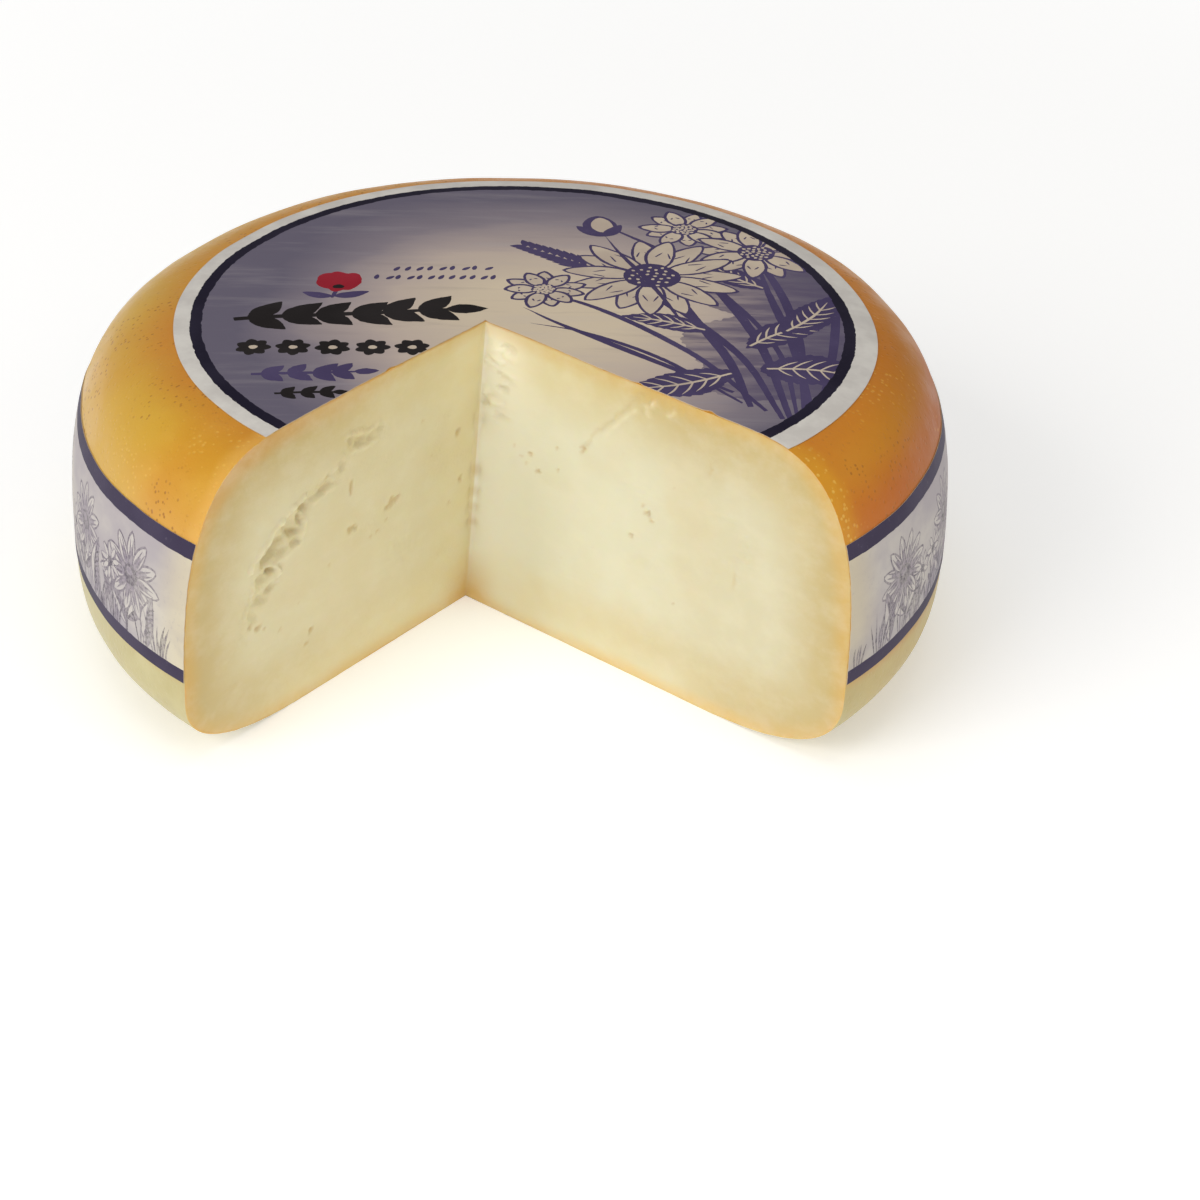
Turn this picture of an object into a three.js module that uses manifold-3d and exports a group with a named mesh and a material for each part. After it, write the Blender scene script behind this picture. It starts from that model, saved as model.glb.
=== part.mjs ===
// A wheel of Gouda-type cheese with one slice cut out of it, in millimetres, +Z up.
//
// The wheel stands on its foot at z = 0 with its axis on the Z axis. It is three separate pieces:
//   cheese     the pressed, ripened cheese with its own rind and the film brushed on the rind, one solid
//   top_label  the round paper label laid on the top, a little off centre
//   side_band  the paper band laid round the side
// Two knife cuts that meet near the middle went through all three, so each of them ends in the same two planes.

import * as THREE from "three";
import { mergeVertices } from "three/addons/utils/BufferGeometryUtils.js";
import Module from "manifold-3d";

// ---- driving dimensions, mm ----
const WHEEL_RADIUS = 125.0; // at the widest level
const WHEEL_HEIGHT = 92.5; // on the axis
const WIDEST_LEVEL = 25.0; // height of the widest level: the wheel sags a little on its foot
const TOP_FLAT_RADIUS = 86.0; // where the shoulder begins
const SHOULDER_POWER = 3.05; // superellipse power of the shoulder
const FOOT_RADIUS = 75.0; // radius of the flat resting face
const FOOT_POWER = 2.6; // superellipse power of the lower edge
const DOME_DROP = 1.5; // how far the domed top falls by the widest radius

const PAPER_THICKNESS = 0.4;
const PAPER_GAP = 0.3; // clearance between the paper and the cheese

const LABEL_RADIUS = 97.35;
const LABEL_CENTRE = [3.39, -1.01]; // the label lies a little off the wheel's axis

const BAND_BOTTOM = 29.05;
const BAND_TOP = 70.1;

const CUT_TOP = [-8.24, -5.34]; // where the two cuts meet, at the top face
const CUT_FOOT = [-13.29, -1.08]; // and at the foot: the knife leaned a little
const CUT_LEFT_DEG = 231.16; // direction of the left cut, counterclockwise from +X
const CUT_RIGHT_DEG = 319.73; // direction of the right cut
const CUT_REACH = 270.0; // how far the cutting prism runs out past the wheel
const CUT_OVERRUN = 20.0; // and above and below it

const SEGMENTS = 96; // round the axis
const SHOULDER_STEPS = 12;
const FOOT_STEPS = 7;

const wasm = await Module();
wasm.setup();

// ---- the wheel's profile as (radius, height): from the top's centre, over the shoulder, to the foot's centre ----
function domed(radius, height) {
  const share = (height - WIDEST_LEVEL) / (WHEEL_HEIGHT - WIDEST_LEVEL);
  return height - DOME_DROP * (radius / WHEEL_RADIUS) ** 2 * share;
}

function wheelProfile() {
  const points = [];
  for (const share of [0, 0.4, 0.75]) {
    const radius = share * TOP_FLAT_RADIUS;
    points.push([radius, domed(radius, WHEEL_HEIGHT)]);
  }
  for (let i = 0; i <= SHOULDER_STEPS; i++) {
    const t = ((i / SHOULDER_STEPS) ** 1.25 * Math.PI) / 2;
    const out = Math.sin(t) ** (2 / SHOULDER_POWER);
    const up = i === SHOULDER_STEPS ? 0 : Math.cos(t) ** (2 / SHOULDER_POWER);
    const radius = TOP_FLAT_RADIUS + (WHEEL_RADIUS - TOP_FLAT_RADIUS) * out;
    const height = WIDEST_LEVEL + (WHEEL_HEIGHT - WIDEST_LEVEL) * up;
    points.push([radius, domed(radius, height)]);
  }
  for (let i = 1; i <= FOOT_STEPS; i++) {
    const t = ((i / FOOT_STEPS) * Math.PI) / 2;
    const down = Math.sin(t) ** (2 / FOOT_POWER);
    const out = i === FOOT_STEPS ? 0 : Math.cos(t) ** (2 / FOOT_POWER);
    points.push([
      FOOT_RADIUS + (WHEEL_RADIUS - FOOT_RADIUS) * out,
      i === FOOT_STEPS ? 0 : WIDEST_LEVEL * (1 - down),
    ]);
  }
  points.push([0, 0]);
  return points;
}

// Puts a point of the profile at a level of the side, and returns the profile with it.
function withLevel(points, level) {
  for (let i = 1; i < points.length; i++) {
    const [r0, z0] = points[i - 1];
    const [r1, z1] = points[i];
    if (z0 > level && z1 < level) {
      const share = (z0 - level) / (z0 - z1);
      const added = [r0 + (r1 - r0) * share, level];
      return [...points.slice(0, i), added, ...points.slice(i)];
    }
  }
  return points;
}

// The profile from one point to another, moved out along its own normals.
function offsetStretch(points, first, last, distance) {
  const moved = [];
  for (let i = first; i <= last; i++) {
    const [r0, z0] = points[Math.max(0, i - 1)];
    const [r1, z1] = points[i + 1];
    const length = Math.hypot(r1 - r0, z1 - z0);
    const out = i === 0 ? 0 : (z0 - z1) / length;
    const up = i === 0 ? 1 : (r1 - r0) / length;
    moved.push([points[i][0] + out * distance, points[i][1] + up * distance]);
  }
  return moved;
}

// ---- geometry to solid and back ----
function toSolid(geometry) {
  const bare = geometry.clone();
  bare.deleteAttribute("normal");
  bare.deleteAttribute("uv");
  const merged = mergeVertices(bare, 1e-4);
  const index = merged.index.array;
  const kept = [];
  for (let i = 0; i < index.length; i += 3) {
    const [a, b, c] = [index[i], index[i + 1], index[i + 2]];
    if (a !== b && b !== c && a !== c) kept.push(a, b, c);
  }
  const make = (triangles) =>
    new wasm.Manifold(
      new wasm.Mesh({
        numProp: 3,
        vertProperties: merged.attributes.position.array,
        triVerts: new Uint32Array(triangles),
      }),
    );
  const solid = make(kept);
  if (solid.volume() > 0) return solid;
  const flipped = [];
  for (let i = 0; i < kept.length; i += 3)
    flipped.push(kept[i], kept[i + 2], kept[i + 1]);
  return make(flipped);
}

function toGeometry(solid) {
  const mesh = solid.getMesh();
  const positions = new Float32Array(mesh.numVert * 3);
  for (let i = 0; i < mesh.numVert; i++) {
    const start = i * mesh.numProp;
    positions.set(mesh.vertProperties.subarray(start, start + 3), i * 3);
  }
  const geometry = new THREE.BufferGeometry();
  geometry.setAttribute("position", new THREE.BufferAttribute(positions, 3));
  geometry.setIndex(
    new THREE.BufferAttribute(new Uint32Array(mesh.triVerts), 1),
  );
  geometry.computeVertexNormals();
  return geometry;
}

// A profile turned round the Z axis. It starts and ends on the axis, or closes on itself.
function lathed(points) {
  const lathe = new THREE.LatheGeometry(
    points.map(([r, z]) => new THREE.Vector2(r, z)),
    SEGMENTS,
  );
  lathe.rotateX(Math.PI / 2);
  return toSolid(lathe);
}

// ---- the slice that the two knife cuts take out, as a leaning three-sided prism ----
function sliceSolid() {
  const corners = [];
  for (const z of [-CUT_OVERRUN, WHEEL_HEIGHT + CUT_OVERRUN]) {
    const share = z / WHEEL_HEIGHT;
    const x = CUT_FOOT[0] + (CUT_TOP[0] - CUT_FOOT[0]) * share;
    const y = CUT_FOOT[1] + (CUT_TOP[1] - CUT_FOOT[1]) * share;
    corners.push([x, y, z]);
    for (const direction of [CUT_LEFT_DEG, CUT_RIGHT_DEG]) {
      const a = THREE.MathUtils.degToRad(direction);
      corners.push([
        x + CUT_REACH * Math.cos(a),
        y + CUT_REACH * Math.sin(a),
        z,
      ]);
    }
  }
  const faces = [
    [0, 2, 1],
    [3, 4, 5],
    [0, 1, 4],
    [0, 4, 3],
    [1, 2, 5],
    [1, 5, 4],
    [2, 0, 3],
    [2, 3, 5],
  ];
  const geometry = new THREE.BufferGeometry();
  geometry.setAttribute(
    "position",
    new THREE.Float32BufferAttribute(corners.flat(), 3),
  );
  geometry.setIndex(faces.flat());
  return toSolid(geometry);
}

// ---- the three pieces ----
const profile = withLevel(withLevel(wheelProfile(), BAND_TOP), BAND_BOTTOM);
const slice = sliceSolid();

const body = lathed(profile).subtract(slice);

// The top label: a skin over the top and the start of the shoulder, trimmed to the label's own circle.
const labelReach = LABEL_RADIUS + Math.hypot(...LABEL_CENTRE);
const labelLast = profile.findIndex(([r]) => r > labelReach);
const labelUnder = offsetStretch(profile, 0, labelLast, PAPER_GAP);
const labelOver = offsetStretch(
  profile,
  0,
  labelLast,
  PAPER_GAP + PAPER_THICKNESS,
);
const labelCircle = new THREE.CylinderGeometry(
  LABEL_RADIUS,
  LABEL_RADIUS,
  WHEEL_HEIGHT,
  SEGMENTS,
);
labelCircle.rotateX(Math.PI / 2);
labelCircle.translate(LABEL_CENTRE[0], LABEL_CENTRE[1], WHEEL_HEIGHT);
const label = lathed([...labelOver, ...labelUnder.reverse()])
  .intersect(toSolid(labelCircle))
  .subtract(slice);

// The side band: a skin between two levels of the side.
const bandFirst = profile.findIndex(([, z]) => z === BAND_TOP);
const bandLast = profile.findIndex(([, z]) => z === BAND_BOTTOM);
const bandUnder = offsetStretch(profile, bandFirst, bandLast, PAPER_GAP);
const bandOver = offsetStretch(
  profile,
  bandFirst,
  bandLast,
  PAPER_GAP + PAPER_THICKNESS,
);
const bandLoop = [...bandOver, ...bandUnder.reverse()];
const band = lathed([...bandLoop, bandLoop[0]]).subtract(slice);

// ---- the object ----
const wheel = new THREE.Group();
wheel.name = "cheese_wheel";

function add(name, solid, colour, roughness) {
  const mesh = new THREE.Mesh(
    toGeometry(solid),
    new THREE.MeshStandardMaterial({ color: colour, roughness, metalness: 0 }),
  );
  mesh.name = name;
  wheel.add(mesh);
}

add("cheese", body, 0xd9a648, 0.4);
add("top_label", label, 0x9c93a3, 0.6);
add("side_band", band, 0xcfc8cc, 0.65);

export default wheel;
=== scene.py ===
# Looks of the cut cheese wheel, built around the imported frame.
# Lengths are millimetres inside the mesh code and metres in Blender.

import math

import bpy
import numpy as np
from mathutils import Matrix, Vector
from mathutils.geometry import delaunay_2d_cdt


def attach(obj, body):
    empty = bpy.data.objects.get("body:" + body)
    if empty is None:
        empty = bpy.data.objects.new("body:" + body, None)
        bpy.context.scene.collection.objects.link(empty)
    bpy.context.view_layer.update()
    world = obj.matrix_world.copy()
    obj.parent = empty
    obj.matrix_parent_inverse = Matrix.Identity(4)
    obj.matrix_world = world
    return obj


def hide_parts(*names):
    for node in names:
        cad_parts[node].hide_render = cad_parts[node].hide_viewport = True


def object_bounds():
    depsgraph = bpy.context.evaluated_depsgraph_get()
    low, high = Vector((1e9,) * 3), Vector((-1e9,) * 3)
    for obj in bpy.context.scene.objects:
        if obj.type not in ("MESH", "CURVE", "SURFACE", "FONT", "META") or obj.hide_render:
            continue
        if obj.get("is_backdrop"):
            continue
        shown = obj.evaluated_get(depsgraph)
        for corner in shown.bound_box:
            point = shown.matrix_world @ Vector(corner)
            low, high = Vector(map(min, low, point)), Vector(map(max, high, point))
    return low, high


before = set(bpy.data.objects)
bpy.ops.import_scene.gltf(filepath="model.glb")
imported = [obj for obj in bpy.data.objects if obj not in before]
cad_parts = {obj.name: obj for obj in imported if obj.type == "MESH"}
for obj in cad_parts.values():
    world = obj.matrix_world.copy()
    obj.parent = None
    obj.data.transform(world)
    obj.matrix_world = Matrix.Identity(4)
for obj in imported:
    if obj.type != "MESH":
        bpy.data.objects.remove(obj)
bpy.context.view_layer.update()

# ------------------------------------------------------------------ the wheel, as the CAD has it
R, H, ZM = 125.0, 92.5, 25.0
R1, N1 = 86.0, 3.05
R2, N2 = 75.0, 2.6
DOME = 1.5
CUT_TOP = np.array([-8.24, -5.34])
CUT_FOOT = np.array([-13.29, -1.08])
PHI_RIGHT = math.radians(-40.27)
PHI_LEFT = math.radians(231.16)
LABEL_C = np.array([3.39, -1.01])
LABEL_R = 97.35
RING_C = np.array([2.55, -1.0])
RING_OUT, RING_IN = 92.1, 88.9
BAND_LOW, BAND_HIGH = 29.05, 70.1


# ------------------------------------------------------------------ noise, all seeded
_tables = {}


def table(seed, n=256):
    if (seed, n) not in _tables:
        _tables[seed, n] = np.random.RandomState(seed).rand(n, n)
    return _tables[seed, n]


def vnoise(x, y, seed):
    """Value noise, 0 to 1, one cell per unit."""
    g = table(seed)
    x, y = np.asarray(x, float), np.asarray(y, float)
    xi, yi = np.floor(x).astype(int), np.floor(y).astype(int)
    fx, fy = x - xi, y - yi
    fx, fy = fx * fx * (3 - 2 * fx), fy * fy * (3 - 2 * fy)
    a = g[xi % 256, yi % 256]
    b = g[(xi + 1) % 256, yi % 256]
    c = g[xi % 256, (yi + 1) % 256]
    d = g[(xi + 1) % 256, (yi + 1) % 256]
    return a + (b - a) * fx + (c - a) * fy + (a - b - c + d) * fx * fy


def fbm(x, y, seed, octaves=4, gain=0.5):
    """Summed value noise, about -1 to 1."""
    total, weight, size = 0.0, 0.0, 1.0
    for o in range(octaves):
        total = total + size * (2 * vnoise(x * 2**o + 17.3 * o, y * 2**o + 9.1 * o, seed + o) - 1)
        weight += size
        size *= gain
    return total / weight


def cells(x, y, seed):
    """Cell noise: distance to the nearest point, to the second nearest, and the nearest cell's own value."""
    gx, gy, gv = table(seed), table(seed + 1), table(seed + 2)
    xi, yi = np.floor(x).astype(int), np.floor(y).astype(int)
    f1 = np.full(np.shape(x), 9.0)
    f2 = np.full(np.shape(x), 9.0)
    value = np.zeros(np.shape(x))
    for dx in (-1, 0, 1):
        for dy in (-1, 0, 1):
            cx, cy = xi + dx, yi + dy
            px = cx + gx[cx % 256, cy % 256]
            py = cy + gy[cx % 256, cy % 256]
            d = np.hypot(px - x, py - y)
            closer = d < f1
            f2 = np.where(closer, f1, np.minimum(f2, d))
            value = np.where(closer, gv[cx % 256, cy % 256], value)
            f1 = np.where(closer, d, f1)
    return f1, f2, value


def smooth(a, b, x):
    t = np.clip((x - a) / (b - a), 0, 1)
    return t * t * (3 - 2 * t)


# ------------------------------------------------------------------ the profile
_t = np.linspace(0, np.pi / 2, 181)
TOP_R = R1 + (R - R1) * np.sin(_t) ** (2 / N1)
TOP_Z = ZM + (H - ZM) * np.clip(np.cos(_t), 0, 1) ** (2 / N1)
TOP_Z = TOP_Z - DOME * (TOP_R / R) ** 2 * (TOP_Z - ZM) / (H - ZM)
FOOT_R = R2 + (R - R2) * np.clip(np.cos(_t), 0, 1) ** (2 / N2)
FOOT_Z = ZM * (1 - np.sin(_t) ** (2 / N2))


def z_top(r):
    flat = H - DOME * (r / R) ** 2
    return np.where(r < R1, flat, np.interp(r, TOP_R, TOP_Z))


def r_side(z):
    up = np.interp(-z, -TOP_Z, TOP_R)
    down = np.interp(z, FOOT_Z[::-1], FOOT_R[::-1])
    return np.where(z > ZM, up, down)


def apex(z):
    return CUT_FOOT + (CUT_TOP - CUT_FOOT) * (np.asarray(z)[..., None] / H)


def wobble(P):
    """Hand-made unevenness: the same slow bending for the cheese and for the paper on it."""
    x, y, z = P[:, 0], P[:, 1], P[:, 2]
    th, r = np.arctan2(y, x), np.hypot(x, y)
    up = np.clip(z / H, 0, 1)
    side = smooth(60, 120, r)
    out = 0.35 * np.sin(2 * th + 0.6) + 0.25 * np.sin(3 * th - 1.1) + 0.2 * np.sin(5 * th + 0.02 * z + 2.0)
    out = out + 0.28 * fbm(th * 7.0 + 40, z / 24.0 + 3, 11, 2)
    out = out - 0.7 * np.exp(-((np.abs(np.arctan2(np.sin(th - 3.35), np.cos(th - 3.35))) / 0.4) ** 2))
    out = out * side * (0.35 + 0.65 * np.sin(np.pi * np.clip(z / H, 0, 1)))
    dz = 0.3 * np.sin(0.045 * x + 0.4) * np.cos(0.05 * y - 0.7) + 0.32 * fbm(x / 26.0 + 7, y / 26.0 + 2, 23, 2)
    turn = np.abs(np.arctan2(np.sin(th - 2.55), np.cos(th - 2.55)))
    slump = -1.0 * np.exp(-((turn / 0.42) ** 2)) * smooth(84, 114, r) * smooth(0.5, 0.95, up)
    dz = (dz + slump) * smooth(0.1, 0.9, up)
    Q = P.copy()
    k = out / np.maximum(r, 1.0)
    Q[:, 0] += x * k
    Q[:, 1] += y * k
    Q[:, 2] += dz
    return Q


# ------------------------------------------------------------------ mesh helpers
def make_mesh(name, verts, faces, materials, index=None, sharp=None, values=None, node=None):
    me = bpy.data.meshes.new(name)
    me.from_pydata((np.asarray(verts) / 1000.0).tolist(), [], faces)
    me.update()
    ob = bpy.data.objects.new(name, me)
    bpy.context.scene.collection.objects.link(ob)
    for m in materials:
        me.materials.append(m)
    if index is not None:
        me.polygons.foreach_set("material_index", np.asarray(index, np.int32))
    me.polygons.foreach_set("use_smooth", np.ones(len(me.polygons), bool))
    if sharp is not None:
        ev = np.zeros(len(me.edges) * 2, np.int64)
        me.edges.foreach_get("vertices", ev)
        ev = ev.reshape(-1, 2)
        flags = sharp(ev)
        attribute = me.attributes.get("sharp_edge") or me.attributes.new("sharp_edge", "BOOLEAN", "EDGE")
        attribute.data.foreach_set("value", flags)
    for key, data in (values or {}).items():
        data = np.asarray(data, np.float32)
        kind = "FLOAT" if data.ndim == 1 else "FLOAT_VECTOR"
        field = "value" if data.ndim == 1 else "vector"
        me.attributes.new(key, kind, "POINT").data.foreach_set(field, data.ravel())
    me.update()
    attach(ob, "root")
    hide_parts(node)
    return ob


# ------------------------------------------------------------------ shader helpers
def srgb(r, g, b):
    def lin(c):
        c = c / 255.0
        return c / 12.92 if c <= 0.04045 else ((c + 0.055) / 1.055) ** 2.4

    return (lin(r), lin(g), lin(b), 1.0)


class Shade:
    def __init__(self, name, **sockets):
        self.mat = bpy.data.materials.new(name)
        self.mat.use_nodes = True
        self.tree = self.mat.node_tree
        self.tree.nodes.clear()
        self.out = self.tree.nodes.new("ShaderNodeOutputMaterial")
        self.bsdf = self.tree.nodes.new("ShaderNodeBsdfPrincipled")
        self.tree.links.new(self.bsdf.outputs[0], self.out.inputs[0])
        for key, value in sockets.items():
            self.bsdf.inputs[key.replace("_", " ")].default_value = value

    def put(self, socket, value):
        if isinstance(value, bpy.types.NodeSocket):
            self.tree.links.new(value, socket)
        else:
            socket.default_value = value

    def node(self, kind, inputs=None, out=0, **props):
        n = self.tree.nodes.new(kind)
        for key, value in props.items():
            setattr(n, key, value)
        for key, value in (inputs or {}).items():
            self.put(n.inputs[key], value)
        return n.outputs[out]

    def math(self, op, a, b=0.0, clamp=False):
        return self.node("ShaderNodeMath", {0: a, 1: b}, operation=op, use_clamp=clamp)

    def ramp(self, value, low, high, to_low=0.0, to_high=1.0, curve="SMOOTHSTEP"):
        return self.node(
            "ShaderNodeMapRange",
            {"Value": value, "From Min": low, "From Max": high, "To Min": to_low, "To Max": to_high},
            interpolation_type=curve,
            clamp=True,
        )

    def mix(self, share, a, b, kind="MIX"):
        n = self.tree.nodes.new("ShaderNodeMix")
        n.data_type = "RGBA"
        n.blend_type = kind
        self.put(n.inputs["Factor"], share)
        self.put([s for s in n.inputs if s.name == "A" and s.type == "RGBA"][0], a)
        self.put([s for s in n.inputs if s.name == "B" and s.type == "RGBA"][0], b)
        return [s for s in n.outputs if s.type == "RGBA"][0]

    def noise(self, where, scale, detail=3.0, rough=0.5, distortion=0.0):
        return self.node(
            "ShaderNodeTexNoise",
            {"Vector": where, "Scale": scale, "Detail": detail, "Roughness": rough, "Distortion": distortion},
        )

    def cellular(self, where, scale, feature="F1", spread=1.0):
        return self.node(
            "ShaderNodeTexVoronoi",
            {"Vector": where, "Scale": scale, "Randomness": spread},
            feature=feature,
        )

    def here(self):
        return self.node("ShaderNodeTexCoord", out=3)

    def stretched(self, where, scale=(1, 1, 1), turn=(0, 0, 0), shift=(0, 0, 0)):
        return self.node("ShaderNodeMapping", {"Vector": where, "Location": shift, "Rotation": turn, "Scale": scale})

    def split(self, where):
        n = self.tree.nodes.new("ShaderNodeSeparateXYZ")
        self.put(n.inputs[0], where)
        return n.outputs

    def stored(self, name, vector=False):
        n = self.tree.nodes.new("ShaderNodeAttribute")
        n.attribute_name = name
        return n.outputs["Vector" if vector else "Fac"]

    def bump(self, height, distance, strength=1.0, before=None):
        n = self.tree.nodes.new("ShaderNodeBump")
        n.inputs["Strength"].default_value = strength
        n.inputs["Distance"].default_value = distance
        self.put(n.inputs["Height"], height)
        if before is not None:
            self.put(n.inputs["Normal"], before)
        return n.outputs[0]

    def set(self, name, value):
        self.put(self.bsdf.inputs[name], value)


# ------------------------------------------------------------------ cheese: outer surface
NA, NB = 176, 142  # cells along and up each cut face
TOP_C = int(np.argmin(np.abs(-np.gradient(TOP_Z) / np.maximum(np.gradient(TOP_R), 1e-9) - 1)))
FOOT_C = int(np.argmin(np.abs(np.gradient(FOOT_Z) / np.minimum(np.gradient(FOOT_R), -1e-9) - 1)))


def column(phi):
    """The outline of the section through the apex line at phi: (K, 3) points from the top apex, out and down, to the foot apex, and the places of its two corners."""
    d = np.array([math.cos(phi), math.sin(phi)])

    def reach(r, z):
        a = apex(z)
        b = a @ d
        return -b + np.sqrt(np.maximum(b * b + r * r - (a * a).sum(-1), 0))

    h1 = float(reach(np.array([R1]), np.array([TOP_Z[0]]))[0])
    h = np.linspace(0, h1, 60)[:-1]
    z = np.full(len(h), H)
    for _ in range(3):
        xy = apex(z) + h[:, None] * d
        z = z_top(np.hypot(xy[:, 0], xy[:, 1]))
    xy = apex(z) + h[:, None] * d
    top = np.column_stack([xy, z])
    rs = np.concatenate([TOP_R, FOOT_R[1:]])
    zs = np.concatenate([TOP_Z, FOOT_Z[1:]])
    hs = reach(rs, zs)
    side = np.column_stack([apex(zs) + hs[:, None] * d, zs])
    h2 = hs[-1]
    h = np.linspace(h2, 0, 60)[1:]
    foot = np.column_stack([apex(np.zeros(len(h))) + h[:, None] * d, np.zeros(len(h))])
    points = np.vstack([top, side, foot])
    return points, len(top) + TOP_C, len(top) + len(TOP_R) - 1 + FOOT_C


def graded(n, start, grow, full_length, both):
    """n cells over 0..1, small at 1 (and at 0 if both), in proportion to a length in mm."""
    sizes = np.ones(n)
    k = 0
    size = start / (full_length / n)
    while size < 1 and k < n // 3:
        sizes[n - 1 - k] = size
        if both:
            sizes[k] = size
        size *= grow
        k += 1
    places = np.concatenate([[0], np.cumsum(sizes)])
    return places / places[-1]


U = graded(NA, 0.16, 1.28, 117, True)
V = graded(NB, 0.16, 1.28, 90, True)


def resampled(points, c1, c2, ua, vb):
    s = np.concatenate([[0], np.cumsum(np.linalg.norm(np.diff(points, axis=0), axis=1))])
    at = np.concatenate([ua * s[c1], s[c1] + (s[c2] - s[c1]) * vb[1:], s[c2] + (s[-1] - s[c2]) * (1 - ua[::-1])[1:]])
    return np.column_stack([np.interp(at, s, points[:, k]) for k in range(3)]), at / s[-1]


COARSE_A, COARSE_B = np.linspace(0, 1, 42), np.linspace(0, 1, 40)
NEAR = np.array([0, 0.25, 0.6, 1.1, 1.8, 2.8]) / 117.0
middle = np.linspace(PHI_RIGHT + 5.0 / 117, PHI_LEFT - 5.0 / 117, 232)
phis = np.concatenate([PHI_RIGHT + NEAR, middle, (PHI_LEFT - NEAR)[::-1]])
fine = np.array([True] * len(NEAR) + [False] * len(middle) + [True] * len(NEAR))

verts, col_ids, col_at = [], [], []
TOP_ID, FOOT_ID = 0, 1
verts.append(np.array([[*CUT_TOP, float(z_top(np.hypot(*CUT_TOP)))], [*CUT_FOOT, 0.0]]))
count = 2
for phi, is_fine in zip(phis, fine):
    points, c1, c2 = column(phi)
    P, at = resampled(points, c1, c2, U if is_fine else COARSE_A, V[::1] if is_fine else COARSE_B)
    inner = P[1:-1]
    ids = np.concatenate([[TOP_ID], np.arange(count, count + len(inner)), [FOOT_ID]])
    verts.append(inner)
    col_ids.append(ids)
    col_at.append(at)
    count += len(inner)

faces, face_mat = [], []


def add_face(ids, mat):
    ids = [int(i) for k, i in enumerate(ids) if i != ids[k - 1]]
    if len(ids) >= 3:
        faces.append(ids)
        face_mat.append(mat)


for i in range(len(phis) - 1):
    a, b = col_ids[i], col_ids[i + 1]
    if len(a) == len(b):
        for j in range(len(a) - 1):
            add_face([a[j], a[j + 1], b[j + 1], b[j]], 1)
        continue
    sa, sb = col_at[i], col_at[i + 1]
    j = k = 0
    while j < len(a) - 1 or k < len(b) - 1:
        if k == len(b) - 1 or (j < len(a) - 1 and sa[j + 1] <= sb[k + 1]):
            add_face([a[j], a[j + 1], b[k]], 1)
            j += 1
        else:
            add_face([a[j], b[k + 1], b[k]], 1)
            k += 1

# ------------------------------------------------------------------ cheese: the two cut faces
crease = np.column_stack([apex(V[1:-1] * verts[0][0, 2]), V[1:-1] * verts[0][0, 2]])
crease_ids = np.arange(count, count + len(crease))
verts.append(crease)
count += len(crease)

# Tears and eyes are placed by (distance from the crease, height), mm.
TEAR = np.array(
    [  # h, z, half width, depth
        (38.5, 73.2, 1.6, 0.3), (43.0, 74.0, 3.2, 0.6), (47.5, 75.2, 4.4, 0.8), (52.0, 75.4, 4.2, 0.8),
        (56.6, 71.0, 2.4, 0.7), (61.5, 67.8, 2.0, 0.9), (66.3, 66.6, 2.4, 1.1), (71.2, 64.6, 3.2, 1.4),
        (74.8, 61.2, 4.2, 1.5), (78.0, 58.0, 4.6, 1.5), (82.4, 55.6, 4.6, 1.4), (85.6, 53.0, 4.0, 1.4),
        (86.2, 49.6, 3.4, 1.3), (88.4, 46.4, 3.2, 1.1), (91.2, 42.0, 2.8, 0.95), (94.1, 38.2, 2.0, 0.7),
        (96.6, 32.6, 1.2, 0.45), (98.2, 26.5, 0.7, 0.2),
    ]
)
HOLLOWS = [  # parts of the tear: h, z, radius along, radius up, turn in degrees, depth, how much painted brown shade
    (62.9, 66.0, 3.8, 0.95, 0, 0.55, 0.45), (62.6, 68.8, 0.8, 0.7, 0, 0.45, 0.3), (68.0, 65.2, 2.4, 0.9, 10, 0.3, 0.1),
    (71.7, 63.9, 1.9, 1.3, 20, 0.95, 0.75), (73.2, 60.7, 1.0, 1.9, -20, 0.9, 0.75), (75.8, 57.6, 2.4, 1.1, 10, 0.95, 0.6),
    (75.0, 53.8, 2.2, 1.0, 15, 0.65, 0.35), (77.4, 60.6, 2.4, 2.6, 30, 0.6, 0.1), (82.4, 55.6, 3.4, 2.4, -35, 0.95, 0.3),
    (86.0, 53.4, 2.2, 1.5, -30, 0.7, 0.25), (79.6, 53.6, 2.0, 1.2, 0, 0.5, 0.2), (83.7, 49.2, 1.3, 1.2, 0, 1.15, 0.8),
    (87.6, 48.3, 1.9, 1.6, 30, 0.55, 0.2), (84.4, 43.8, 2.1, 1.4, -30, 0.6, 0.3), (87.3, 41.6, 1.7, 2.1, -30, 0.55, 0.25),
    (90.9, 38.0, 1.2, 2.6, -35, 0.35, 0.1), (94.0, 32.6, 0.9, 3.2, -25, 0.22, 0.0), (57.0, 70.2, 2.0, 1.2, 35, 0.4, 0.15),
    (50.0, 74.4, 2.6, 1.4, 20, 0.6, 0.2), (45.6, 73.6, 1.8, 1.1, -10, 0.5, 0.2), (53.8, 76.6, 1.3, 1.6, 0, 0.45, 0.1),
    (41.6, 74.8, 1.2, 0.9, 0, 0.35, 0.1),
]
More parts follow.
